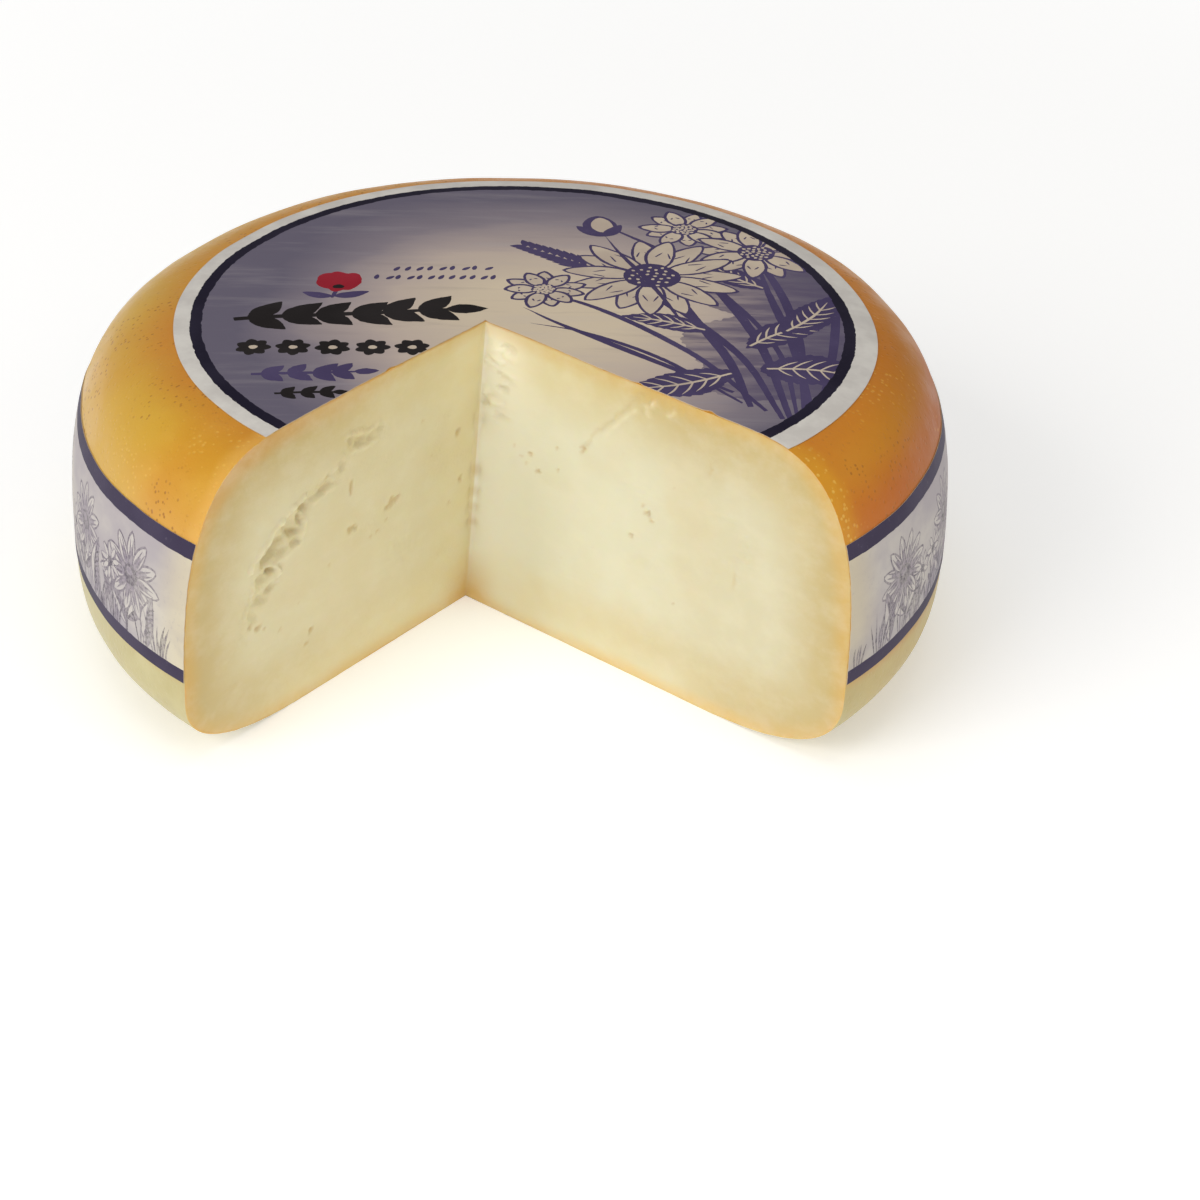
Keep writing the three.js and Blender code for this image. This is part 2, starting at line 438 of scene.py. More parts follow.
RIDGES_LEFT = [  # paste pushed up beside the tear: points (h, z), width, height
    ([(91.6, 52.6), (90.0, 54.9), (86.4, 58.5), (82.8, 61.1), (80.2, 62.6), (76.2, 65.0), (72.0, 67.2)], 0.85, 0.75),
    ([(71.0, 59.8), (71.6, 56.4), (73.0, 52.4), (78.8, 51.2), (82.6, 51.0)], 0.9, 0.4),
    ([(85.2, 51.6), (82.9, 50.8), (81.2, 48.4), (81.6, 45.4)], 0.75, 0.7),
    ([(90.6, 47.6), (90.6, 44.0), (93.4, 38.0)], 0.9, 0.32),
    ([(67.6, 63.6), (60.0, 64.4)], 0.8, 0.28),
    ([(55.6, 78.4), (50.6, 77.2), (46.8, 76.0), (43.0, 76.8)], 1.0, 0.5),
    ([(52.4, 72.4), (47.6, 71.8), (43.4, 72.4)], 0.9, 0.4),
    ([(60.0, 70.0), (56.6, 72.6)], 0.8, 0.3),
]
RIDGES_RIGHT = [
    ([(60.0, 88.4), (57.6, 86.6), (58.4, 84.6)], 1.3, 0.5),
    ([(66.8, 88.2), (64.6, 86.6)], 1.2, 0.45),
    ([(53.6, 84.2), (49.2, 78.4), (45.2, 73.2)], 1.1, 0.22),
]
EYES_LEFT = [  # h, z, radius along, radius up, depth
    (8.9, 60.5, 0.9, 1.1, 0.9), (53.3, 61.4, 0.55, 2.2, 0.9), (35.5, 49.3, 2.0, 1.3, 0.8), (37.8, 48.2, 0.9, 0.7, 0.8),
    (33.2, 49.8, 0.8, 0.6, 0.7), (52.6, 47.9, 1.5, 0.9, 0.9), (50.6, 47.2, 0.6, 0.5, 0.7), (41.7, 42.0, 1.0, 0.45, 0.6),
    (44.2, 41.4, 0.5, 0.4, 0.5), (38.0, 44.2, 0.7, 0.4, 0.5), (67.5, 21.8, 0.7, 0.8, 0.9), (69.2, 18.0, 0.8, 0.5, 0.7),
    (79.8, 28.1, 0.6, 0.5, 0.6), (88.6, 33.0, 1.1, 0.8, 0.8), (91.6, 34.6, 0.8, 0.7, 0.7), (86.0, 31.6, 0.6, 0.5, 0.6),
    (6.5, 44.2, 0.8, 1.1, 0.7), (10.8, 37.9, 0.6, 0.7, 0.5), (98.7, 18.0, 2.2, 1.2, 0.08), (31.2, 27.6, 0.9, 1.1, -0.16),
    (35.0, 33.5, 1.3, 1.5, -0.16), (28.5, 35.5, 1.0, 1.4, -0.14), (26.0, 31.0, 0.8, 1.0, -0.14), (20.0, 57.0, 0.4, 0.5, 0.5),
    (61.0, 40.0, 0.4, 0.4, 0.5), (24.5, 70.5, 0.5, 0.4, 0.4), (72.5, 33.5, 0.4, 0.35, 0.4),
]
EYES_RIGHT = [
    (19.6, 57.0, 0.7, 0.6, 0.8), (23.0, 52.6, 0.8, 0.8, 0.9), (30.0, 55.8, 0.6, 0.5, 0.7), (28.9, 62.6, 0.5, 0.5, 0.6),
    (16.5, 55.5, 0.45, 0.4, 0.6), (18.6, 53.6, 0.45, 0.45, 0.6), (14.0, 57.6, 0.35, 0.35, 0.5), (62.1, 54.6, 1.1, 0.8, 0.9),
    (60.2, 56.4, 0.6, 0.45, 0.6), (63.6, 52.8, 0.5, 0.5, 0.7), (57.3, 45.5, 0.7, 0.6, 0.8), (80.7, 76.0, 0.7, 2.0, 0.15),
    (93.9, 56.9, 1.7, 1.4, -0.26), (92.2, 50.4, 1.3, 1.7, -0.24), (92.9, 45.0, 0.7, 2.6, 0.14), (95.8, 53.5, 0.9, 1.0, -0.2),
    (37.9, 65.9, 0.9, 1.1, 0.9), (45.0, 36.0, 0.35, 0.35, 0.5), (74.0, 30.0, 0.4, 0.35, 0.5), (33.5, 28.0, 0.35, 0.3, 0.4),
    (70.0, 66.0, 0.35, 0.3, 0.4), (52.0, 70.0, 0.3, 0.3, 0.4),
]
CRACK = np.array([(56.2, 90.6, 0.9, 0.9), (52.5, 86.4, 0.8, 0.8), (48.1, 80.4, 0.55, 0.6), (44.0, 75.6, 0.5, 0.55), (40.5, 71.2, 0.5, 0.55), (38.4, 67.2, 0.6, 0.7)])
STREAKS = [  # knife drag, on the right face: h, z, length, depth
    (58.0, 61.0, 9.0, 0.10), (60.0, 58.6, 8.0, 0.12), (86.0, 62.5, 8.0, 0.12), (84.0, 65.5, 7.0, 0.08),
    (40.0, 22.0, 12.0, 0.08), (34.0, 24.5, 10.0, 0.07), (70.0, 40.0, 11.0, 0.06),
]


def along(path, h, z):
    """Nearest place on a polyline: signed distance, half width and depth there, and the length run."""
    best = np.full(h.shape, 1e9)
    sign, width, depth, run = (np.zeros(h.shape) for _ in range(4))
    s0 = 0.0
    for a, b in zip(path[:-1], path[1:]):
        d = b[:2] - a[:2]
        length = np.hypot(*d)
        k = np.clip(((h - a[0]) * d[0] + (z - a[1]) * d[1]) / length**2, 0, 1)
        dx, dz = h - (a[0] + k * d[0]), z - (a[1] + k * d[1])
        dist = np.hypot(dx, dz)
        hit = dist < best
        best = np.where(hit, dist, best)
        sign = np.where(hit, np.sign(dx * d[1] - dz * d[0]), sign)
        width = np.where(hit, a[2] + k * (b[2] - a[2]), width)
        depth = np.where(hit, a[3] + k * (b[3] - a[3]), depth)
        run = np.where(hit, s0 + k * length, run)
        s0 += length
    return best, sign, width, depth, run


def crease_shade(h, z):
    """How much painted brown shade lies along the corner between the two cuts, 0 to 1."""
    brown = 0.45 * np.exp(-((h / 1.5) ** 2)) * smooth(-0.5, 0.5, fbm(h * 0 + 2, z / 6.0, 57, 3) + 0.25)
    brown = np.maximum(brown, 0.6 * np.exp(-((h / 1.3) ** 2)) * smooth(22, 12, z))
    for pz, size, much in ((62.0, 2.4, 0.5), (44.7, 2.8, 1.0), (37.4, 2.4, 0.7), (32.0, 2.2, 0.6), (26.7, 1.8, 0.95)):
        brown = np.maximum(brown, much * np.exp(-((h / 1.7) ** 2) - ((z - pz) / size) ** 2))
    return brown


def cut_relief(h, z, rind, left):
    """How deep the cut surface lies below its plane, mm, and, 0 to 1, how torn it is, how much painted brown shade its
    hollows get (at one eye a faint stain) and how much painted highlight its raised edges get.
    """
    seed = 300 if left else 500
    inside = smooth(0.0, 3.0, rind)
    deep = 0.22 * fbm(h / 34 + 5, z / 30 + 1, seed, 2)  # the wire bowed a little
    deep = deep + 0.05 * fbm(h / 6.5, z / 5.0, seed + 5, 3) + 0.018 * fbm(h / 1.4, z / 1.2, seed + 9, 2)
    deep = deep + 0.02 * fbm(h / 22.0, z / 0.9, seed + 13, 2)  # drag lines along the cut
    torn, hollow_shade_and_stain, ridge_highlight = np.zeros(h.shape), np.zeros(h.shape), np.zeros(h.shape)
    # small crumbly patches
    patch = smooth(0.35, 0.8, fbm(h / 16 + 31, z / 13 + 8, seed + 21, 3))
    f1, f2, value = cells(h / 1.5, z / 1.3, seed + 31)
    deep = deep + patch * 0.12 * (value - 0.3) * smooth(0.0, 0.2, f2 - f1)
    torn = np.maximum(torn, 0.35 * patch)
    if left:
        jag_h = h + 1.1 * fbm(h / 3.4, z / 3.4, 811, 3)
        jag_z = z + 1.1 * fbm(h / 3.4, z / 3.4, 821, 3)
        dist, sign, width, depth, run = along(TEAR, jag_h, jag_z)
        rough = fbm(h / 2.6, z / 2.2, 861, 3)
        wall = smooth(1.25, 0.45, dist / width)
        deep = deep + depth * wall * (0.30 + 0.34 * rough)
        for hh, hz, rh, rz, turn, d, brown in HOLLOWS:
            ca, sa = math.cos(math.radians(turn)), math.sin(math.radians(turn))
            dh, dz = jag_h - hh, jag_z - hz
            q = np.hypot((dh * ca + dz * sa) / rh, (-dh * sa + dz * ca) / rz) / (1 + 0.22 * rough)
            hole = smooth(1.35, 0.35, q)
            deep = deep + 1.7 * d * hole
            torn = np.maximum(torn, min(1.0, 0.9 * d + 0.1) * smooth(1.5, 0.8, q))
            # painted brown shade in the hollow
            hollow_shade_and_stain = np.maximum(hollow_shade_and_stain, brown * smooth(1.1, 0.3, q))
        torn = np.maximum(torn, 0.6 * wall * np.clip(depth, 0, 1))
        for line, w, up in RIDGES_LEFT:
            run = np.array([(x, y, w, up) for x, y in line])
            dist, sign, width, lift, _ = along(run, jag_h, jag_z)
            rise = np.exp(-((dist / (0.66 * width)) ** 2)) * np.clip(0.75 + 0.8 * fbm(h / 2.0, z / 2.0, 881, 2), 0.15, 1.3)
            deep = deep - 1.7 * lift * rise
            # the raised edge gets a painted highlight
            ridge_highlight = np.maximum(ridge_highlight, rise * np.clip(1.2 * lift, 0, 1))
        # a faint field of little bumps
        field = np.exp(-(((h - 33.0) / 8.0) ** 2) - ((z - 30.0) / 7.5) ** 2)
        f1, f2, value = cells(h / 2.6, z / 2.4, 871)
        deep = deep - 0.16 * field * smooth(0.5, 0.1, f1)
        eyes = EYES_LEFT
    else:
        dist, sign, width, depth, run = along(CRACK, h + 0.7 * fbm(h / 2.2, z / 2.2, 841, 2), z)
        wall = smooth(2.4, 0.0, dist / width)
        deep = deep + 0.55 * depth * wall
        torn = np.maximum(torn, 0.5 * wall)
        # painted shade in the crack
        hollow_shade_and_stain = np.maximum(hollow_shade_and_stain, 0.2 * wall)
        for line, w, up in RIDGES_RIGHT:
            run = np.array([(x, y, w, up) for x, y in line])
            dist, sign, width, lift, _ = along(run, h + 0.8 * fbm(h / 2.2, z / 2.2, 843, 2), z)
            rise = np.exp(-((dist / (0.7 * width)) ** 2)) * np.clip(0.8 + 0.8 * fbm(h / 2.0, z / 2.0, 883, 2), 0.15, 1.3)
            deep = deep - 1.7 * lift * rise
            # the raised ridge gets a painted highlight
            ridge_highlight = np.maximum(ridge_highlight, rise * np.clip(1.6 * lift, 0, 1))
        # crumbled patch high up by the crease
        f1, f2, value = cells(h / 6.0 + 0.2 * z / 3.4, z / 2.7, 851)
        near = smooth(16, 5, h) * smooth(60, 68, z) * smooth(91, 87, z)
        deep = deep + near * (2.2 * (value - 0.45)) * smooth(0.0, 0.5, f2 - f1)
        torn = np.maximum(torn, 0.7 * near * smooth(0.45, 0.9, value))
        # the raised crumbs get a painted highlight
        ridge_highlight = np.maximum(ridge_highlight, 0.7 * near * smooth(0.45, 0.1, value))
        for ch, cz, length, d in STREAKS:
            k = np.exp(-(((h - ch) / length) ** 4) - ((z - cz + 0.03 * (h - ch)) / 0.5) ** 2)
            deep = deep + 1.5 * d * k
        eyes = EYES_RIGHT
    for k, (eh, ez, rh, rz, d) in enumerate(eyes):
        turn = 2.4 * k
        dh, dz = h - eh, z - ez
        edge = 1 + 0.26 * np.sin(3 * np.arctan2(dz, dh) + turn) + 0.14 * np.sin(5 * np.arctan2(dz, dh) - turn)
        q = np.hypot(dh / rh, dz / rz) / edge
        if d < 0:
            deep = deep + d * 1.5 * np.exp(-(q**2)) - d * 0.8 * np.exp(-(((q - 1.5) / 0.5) ** 2)) * (dh > 0)
            continue
        hole = smooth(1.25, 0.5, q)
        deep = deep + d * 0.66 * hole - 0.10 * d * np.exp(-(((q - 1.45) / 0.3) ** 2))
        torn = np.maximum(torn, 0.6 * hole)
        # painted brown shade in the eye; the shallowest one on the left face is a faint stain
        hollow_shade_and_stain = np.maximum(hollow_shade_and_stain, smooth(1.5, 0.6, q) * min(1.0, 0.75 * d + 0.1))
    # the corner where the two cuts met crumbled a little; along its line and in its hollows it is painted with brown
    # shade
    ragged = smooth(3.6, 1.2, h) * smooth(0, 6, z) * smooth(92.5, 86, z) * smooth(20, 30, z)
    f1, f2, value = cells(h / 1.3, z / 1.7, seed + 41)
    deep = deep + ragged * (0.34 * (value - 0.5) + 0.14 * fbm(h / 1.5, z / 2.5, seed + 51, 3))
    hollow_shade_and_stain = np.maximum(hollow_shade_and_stain, crease_shade(h, z))
    for pz, size in ((62.0, 2.2), (44.7, 2.6), (37.4, 2.2), (32.0, 2.0), (26.7, 1.8)):
        hollow = np.exp(-(((h - 1.2) / 1.6) ** 2) - ((z - pz) / size) ** 2)
        deep = deep + 0.45 * hollow
        torn = np.maximum(torn, 0.6 * hollow)
    deep = deep * smooth(0.0, 1.5, h)
    return deep * inside, torn * inside, hollow_shade_and_stain * inside, ridge_highlight * inside


def fillet(z):
    """Radius of the small round in the corner between the two cuts, mm."""
    return 1e-4 + 1.7 * smooth(0, 3, z) * smooth(H, H - 3, z) * (1 + 0.25 * fbm(z / 4.0, z * 0 + 7, 75, 2))


face_data = []
for left in (False, True):
    phi = PHI_LEFT if left else PHI_RIGHT
    ids = col_ids[-1] if left else col_ids[0]
    d = np.array([math.cos(phi), math.sin(phi), 0.0])
    allv = np.vstack(verts)
    outline = allv[ids]
    flat_z = outline[:, 2]
    flat_h = ((outline[:, :2] - apex(flat_z)) @ d[:2])
    T = np.column_stack([flat_h, flat_z])[: NA + 1]
    S = np.column_stack([flat_h, flat_z])[NA : NA + NB + 1][::-1]
    B = np.column_stack([flat_h, flat_z])[NA + NB :][::-1]
    L = np.column_stack([np.zeros(NB + 1), V * T[0, 1]])
    u, v = U[:, None, None], V[None, :, None]
    G = (
        (1 - v) * B[:, None] + v * T[:, None] + (1 - u) * L[None] + u * S[None]
        - ((1 - u) * (1 - v) * B[0] + u * (1 - v) * B[-1] + (1 - u) * v * T[0] + u * v * T[-1])
    )
    grid = np.zeros((NA + 1, NB + 1), int)
    grid[:, NB] = ids[: NA + 1]
    grid[NA, :] = ids[NA : NA + NB + 1][::-1]
    grid[:, 0] = ids[NA + NB :][::-1]
    grid[0, 1:NB] = crease_ids
    inner = G[1:NA, 1:NB].reshape(-1, 2)
    grid[1:NA, 1:NB] = np.arange(count, count + len(inner)).reshape(NA - 1, NB - 1)
    count += len(inner)
    line = np.column_stack([flat_h, flat_z])

    def to_rind(h, z):
        a, b = line[:-1], line[1:]
        e = b - a
        ee = np.maximum((e * e).sum(1), 1e-12)
        best = np.full(len(h), 1e9)
        for k0 in range(0, len(h), 4000):
            q = np.column_stack([h[k0 : k0 + 4000], z[k0 : k0 + 4000]])[:, None]
            k = np.clip(((q - a) * e).sum(-1) / ee, 0, 1)
            best[k0 : k0 + 4000] = np.sqrt((((a + k[..., None] * e) - q) ** 2).sum(-1)).min(1)
        return best

    h, z = inner[:, 0], inner[:, 1]
    rind = to_rind(h, z)
    deep, torn, hollow_shade_and_stain, ridge_highlight = cut_relief(h, z, rind, left)
    out = np.array([-d[1], d[0], 0.0]) if left else np.array([d[1], -d[0], 0.0])
    rho = fillet(z)
    bend = math.pi / 4 * (1 - np.clip(h / rho, 0, 1))
    along_face = np.where(h < rho, rho * (1 - np.sin(bend)), h)
    P = np.column_stack([apex(z) + along_face[:, None] * d[:2], z]) - (deep - rho * (1 - np.cos(bend)))[:, None] * out
    verts.append(P)
    face_data.append(dict(grid=grid, h=h, z=z, rind=rind, torn=torn, hollow_shade_and_stain=hollow_shade_and_stain, ridge_highlight=ridge_highlight, out=out, outline=ids, line=line, left=left))
    for a in range(NA):
        for b in range(NB):
            q = [grid[a, b], grid[a + 1, b], grid[a + 1, b + 1], grid[a, b + 1]]
            add_face(q[::-1] if left else q, 0)

V3 = np.vstack(verts)
rind_at, torn_at, hollow_shade_and_stain_at, ridge_highlight_at = (np.zeros(len(V3)) for _ in range(4))
cut_at = np.zeros((len(V3), 3))
for f in face_data:
    ids = f["grid"][1:NA, 1:NB].ravel()
    rind_at[ids], torn_at[ids], hollow_shade_and_stain_at[ids], ridge_highlight_at[ids] = f["rind"], f["torn"], f["hollow_shade_and_stain"], f["ridge_highlight"]
    cut_at[ids] = np.column_stack([f["h"], f["z"], np.full(len(ids), 1.0 if f["left"] else 0.0)])
    edge = f["outline"]
    cut_at[edge] = np.column_stack([f["line"], np.full(len(edge), 1.0 if f["left"] else 0.0)])
ch = V[1:-1] * H
rind_at[crease_ids] = np.minimum(ch, H - ch)
torn_at[crease_ids] = 0.25
# painted brown shade along the crease line itself
hollow_shade_and_stain_at[crease_ids] = crease_shade(ch * 0, ch) * smooth(0, 3, rind_at[crease_ids])
cut_at[crease_ids] = np.column_stack([np.zeros(len(ch)), ch, np.full(len(ch), 0.5)])
# the corner is round
for phi in (PHI_RIGHT, PHI_LEFT):
    V3[crease_ids, :2] += ((1 - math.sqrt(0.5)) * fillet(ch))[:, None] * np.array([math.cos(phi), math.sin(phi)])
# how far each outer point lies from the two cuts
cut_gap = np.full((len(V3), 2), 60.0)
for k, (phi, side) in enumerate(((PHI_RIGHT, 1.0), (PHI_LEFT, -1.0))):
    d = np.array([math.cos(phi), math.sin(phi)])
    n = side * np.array([-d[1], d[0]])
    rel = V3[:, :2] - apex(V3[:, 2])
    cut_gap[:, k] = np.where((rel @ d > 0) & (rel @ n > -3), np.clip(rel @ n, 0, 60), 60.0)
# the rim of each cut is slightly ragged and pulled in
for f in face_data:
    ids = f["outline"][1:-1]
    run = np.arange(len(ids)) * 0.65
    pull = 0.06 + 0.10 * fbm(run / 2.6, run * 0 + 1, 81 if f["left"] else 91, 3)
    V3[ids] -= f["out"] * pull[:, None]
V3 = wobble(V3)
V3[:, 2] = np.maximum(V3[:, 2], 0.0)

outline_set = np.zeros(len(V3), bool)
crease_set = np.zeros(len(V3), bool)
for f in face_data:
    outline_set[f["outline"]] = True
crease_set[crease_ids] = True
crease_set[[TOP_ID, FOOT_ID]] = True
rank = np.full(len(V3), -10_000)
rank2 = np.full(len(V3), -10_000)
for k, f in enumerate(face_data):
    (rank if k == 0 else rank2)[f["outline"]] = np.arange(len(f["outline"]))


def sharp_rim(ev):
    a, b = ev[:, 0], ev[:, 1]
    near = (np.abs(rank[a] - rank[b]) == 1) & (rank[a] >= 0) & (rank[b] >= 0)
    near |= (np.abs(rank2[a] - rank2[b]) == 1) & (rank2[a] >= 0) & (rank2[b] >= 0)
    ends = (a <= 1) | (b <= 1)
    near |= ends & outline_set[a] & outline_set[b]
    return near


# ------------------------------------------------------------------ material: the paste
paste = Shade("cheese_paste", Roughness=0.46, IOR=1.45)
paste.set("Subsurface Weight", 0.35)
paste.set("Subsurface Radius", (1.0, 0.62, 0.22))
paste.set("Subsurface Scale", 0.0035)
paste.set("Specular IOR Level", 0.3)
here = paste.here()
rind = paste.stored("rind")
torn = paste.stored("torn")
where = paste.stored("cut_at", vector=True)
slow = paste.noise(here, 26.0, 3.0, 0.5)
spread = paste.math("ADD", rind, paste.math("MULTIPLY", paste.math("SUBTRACT", slow, 0.5), 7.0))
height = paste.split(here)[2]
out_from_middle, _, on_left = paste.split(where)
# the paste dries and darkens towards the side and stays pale in the middle; the left cut face gets darker, yellower
# copies of these colours as painted shade, and the foot is painted paler as bounce light from the floor
side = paste.ramp(out_from_middle, 25.0, 82.0)
near_rind = paste.mix(side, srgb(212, 198, 150), srgb(193, 172, 118))
# painted shade: the left face's centre colour is a darker, yellower copy of the right face's
centre = paste.mix(on_left, paste.mix(paste.ramp(out_from_middle, 50.0, 90.0), srgb(216, 212, 184), srgb(209, 201, 168)), srgb(213, 203, 165))
colour = paste.mix(paste.ramp(spread, 3.0, 27.0), near_rind, centre)
# paler towards the crease: partly the paste's own paler middle, partly painted bounce light between the faces; the
# right face's copy is paler than the left's, painted light and shade
middle = paste.mix(on_left, srgb(240, 236, 214), srgb(226, 213, 165))
colour = paste.mix(paste.ramp(out_from_middle, 0.0, 26.0, 0.8, 0.0), colour, middle)
warm_edge = paste.ramp(spread, 0.4, 7.0, 1.0, 0.0)
colour = paste.mix(paste.math("MULTIPLY", warm_edge, paste.ramp(side, 0.0, 1.0, 0.5, 0.8)), colour, srgb(206, 168, 92))
# painted bounce light from the floor: the lowest part of each cut face is painted paler, with its own copy per face
foot_bounce_light = paste.math("MULTIPLY", paste.ramp(height, 0.0, 0.024, 0.85, 0.0), paste.ramp(out_from_middle, 70.0, 105.0, 1.0, 0.25))
colour = paste.mix(foot_bounce_light, colour, paste.mix(on_left, srgb(221, 214, 180), srgb(224, 212, 168)))
shoulder_warm = paste.math("MULTIPLY", paste.ramp(height, 0.066, 0.086), paste.math("MULTIPLY", on_left, paste.ramp(spread, 1.0, 9.0, 0.6, 0.0)))
colour = paste.mix(paste.math("MULTIPLY", shoulder_warm, side), colour, srgb(196, 148, 84))
low = paste.math("ADD", height, paste.math("MULTIPLY", paste.math("SUBTRACT", slow, 0.5), 0.004))
colour = paste.mix(paste.ramp(low, 0.0, 0.0055, 0.7, 0.0), colour, srgb(220, 186, 116))
corner_foot = paste.math("MULTIPLY", paste.ramp(low, 0.0, 0.020, 0.75, 0.0), paste.ramp(out_from_middle, 0.5, 14.0, 1.0, 0.0))
colour = paste.mix(corner_foot, colour, srgb(212, 172, 92))
mottle = paste.noise(paste.stretched(here, (1, 1, 1.4)), 95.0, 4.0, 0.6)
colour = paste.mix(paste.ramp(mottle, 0.35, 0.75, 0.0, 0.25), colour, srgb(226, 220, 194))
blush = paste.noise(here, 34.0, 2.0, 0.5)
colour = paste.mix(paste.ramp(blush, 0.5, 0.72, 0.0, 0.25), colour, srgb(208, 188, 140))
colour = paste.mix(paste.math("MULTIPLY", torn, 0.34), colour, srgb(200, 184, 132))
# painted highlight on the raised edges of the tear and on the crumbs
colour = paste.mix(paste.math("MULTIPLY", paste.stored("ridge_highlight"), 0.55), colour, srgb(238, 230, 200))
# painted brown shade in the eyes, tear hollows, crack and crease, and one faint stain
colour = paste.mix(paste.math("MULTIPLY", paste.stored("hollow_shade_and_stain"), 0.5), colour, srgb(196, 158, 92))
line = paste.math("ADD", rind, paste.math("MULTIPLY", paste.math("SUBTRACT", paste.noise(here, 420.0, 2.0), 0.5), 0.5))
broken = paste.ramp(paste.noise(here, 75.0, 2.0), 0.38, 0.58, 0.25, 1.0)
share = paste.math("MULTIPLY", paste.ramp(height, 0.080, 0.090, 0.40, 0.70), broken)
share = paste.math("MULTIPLY", share, paste.ramp(on_left, 0.0, 1.0, 0.45, 1.0))
colour = paste.mix(paste.math("MULTIPLY", paste.ramp(line, 0.2, 0.85, 1.0, 0.0), share), colour, srgb(206, 150, 76))
paste.set("Base Color", colour)
grain = paste.noise(here, 900.0, 4.0, 0.6)
drag = paste.noise(paste.stretched(where, (0.05, 1.6, 1.0)), 1.0, 4.0, 0.6)
crumb = paste.node("ShaderNodeTexVoronoi", {"Vector": here, "Scale": 780.0}, feature="F1")
b = paste.bump(grain, 0.00010, 0.45)
b = paste.bump(drag, 0.00012, 0.35, b)
b = paste.bump(paste.math("MULTIPLY", crumb, torn), 0.0005, 0.5, b)
paste.set("Normal", b)

# ------------------------------------------------------------------ material: the coated rind
coat = Shade("rind_coating", Roughness=0.36, IOR=1.46)
coat.set("Subsurface Weight", 0.10)
coat.set("Subsurface Radius", (1.0, 0.45, 0.1))
coat.set("Subsurface Scale", 0.002)
coat.set("Specular IOR Level", 0.42)
coat.set("Coat Weight", 0.08)
coat.set("Coat Roughness", 0.22)
here = coat.here()
x, y, z = coat.split(here)
slow = coat.noise(here, 11.0, 3.0, 0.5)
fine_noise = coat.noise(here, 70.0, 4.0, 0.6)
# yellow on the left to deeper orange on the right: partly the film's own hue, partly painted shade on the side turned
# from the key light
side = coat.ramp(coat.math("ADD", x, coat.math("MULTIPLY", coat.math("SUBTRACT", slow, 0.5), 0.08)), -0.10, 0.11)
right_film_and_shade = coat.mix(coat.ramp(z, 0.074, 0.086), srgb(186, 94, 8), srgb(196, 130, 30))
colour = coat.mix(side, srgb(202, 154, 34), right_film_and_shade)
colour = coat.mix(coat.ramp(slow, 0.40, 0.66, 0.0, 0.62), colour, srgb(196, 122, 26))
bloom = coat.noise(coat.stretched(here, (1, 1, 0.6)), 17.0, 3.0, 0.55)
dull = coat.ramp(x, -0.02, 0.09, 1.0, 0.25)
bloom = coat.math("MULTIPLY", coat.ramp(bloom, 0.50, 0.70, 0.0, 0.45), coat.ramp(z, 0.088, 0.060))
colour = coat.mix(coat.math("MULTIPLY", bloom, dull), colour, srgb(218, 176, 92))
colour = coat.mix(coat.math("MULTIPLY", coat.ramp(fine_noise, 0.48, 0.8, 0.0, 0.30), dull), colour, srgb(214, 166, 66))
dx = coat.math("SUBTRACT", x, float(LABEL_C[0]) / 1000)
dy = coat.math("SUBTRACT", y, float(LABEL_C[1]) / 1000)
from_centre = coat.math("SQRT", coat.math("ADD", coat.math("MULTIPLY", dx, dx), coat.math("MULTIPLY", dy, dy)))
pool = coat.ramp(from_centre, LABEL_R / 1000, LABEL_R / 1000 + 0.014, 1.0, 0.0)
pool = coat.math("MULTIPLY", pool, coat.ramp(z, 0.06, 0.07))
colour = coat.mix(coat.math("MULTIPLY", pool, 0.50), colour, srgb(196, 114, 30))
# painted highlight paling the far left of the film, painted shade darkening the far right
painted_side_light = coat.math("ADD", x, coat.math("MULTIPLY", coat.math("SUBTRACT", slow, 0.5), 0.03))
colour = coat.mix(coat.ramp(painted_side_light, -0.122, -0.078, 0.50, 0.0), colour, srgb(198, 164, 84))
colour = coat.mix(coat.ramp(painted_side_light, 0.088, 0.118, 0.0, 0.55), colour, srgb(150, 82, 14))
# the film is thinner and yellower beside the cuts
by_right = coat.ramp(coat.math("ADD", coat.stored("gap_right"), coat.math("MULTIPLY", coat.math("SUBTRACT", fine_noise, 0.5), 9.0)), 0.5, 8.0, 1.0, 0.0)
by_left = coat.ramp(coat.math("ADD", coat.stored("gap_left"), coat.math("MULTIPLY", coat.math("SUBTRACT", fine_noise, 0.5), 6.0)), 0.3, 6.0, 1.0, 0.0)
colour = coat.mix(coat.math("MULTIPLY", by_right, 0.62), colour, srgb(210, 150, 30))
colour = coat.mix(coat.math("MULTIPLY", by_left, 0.50), colour, srgb(222, 172, 84))
# pinprick speckle, in drifts
drift = coat.noise(here, 26.0, 3.0, 0.55)
prick = coat.cellular(here, 560.0)
dark = coat.math("MULTIPLY", coat.ramp(prick, 0.15, 0.30, 1.0, 0.0), coat.ramp(drift, 0.44, 0.56))
colour = coat.mix(coat.math("MULTIPLY", dark, 0.75), colour, srgb(150, 92, 22))
light = coat.math("MULTIPLY", coat.ramp(prick, 0.18, 0.34, 1.0, 0.0), coat.math("MAXIMUM", coat.ramp(drift, 0.46, 0.34, 0.0, 0.5), by_right))
colour = coat.mix(coat.math("MULTIPLY", light, 0.62), colour, srgb(226, 184, 84))
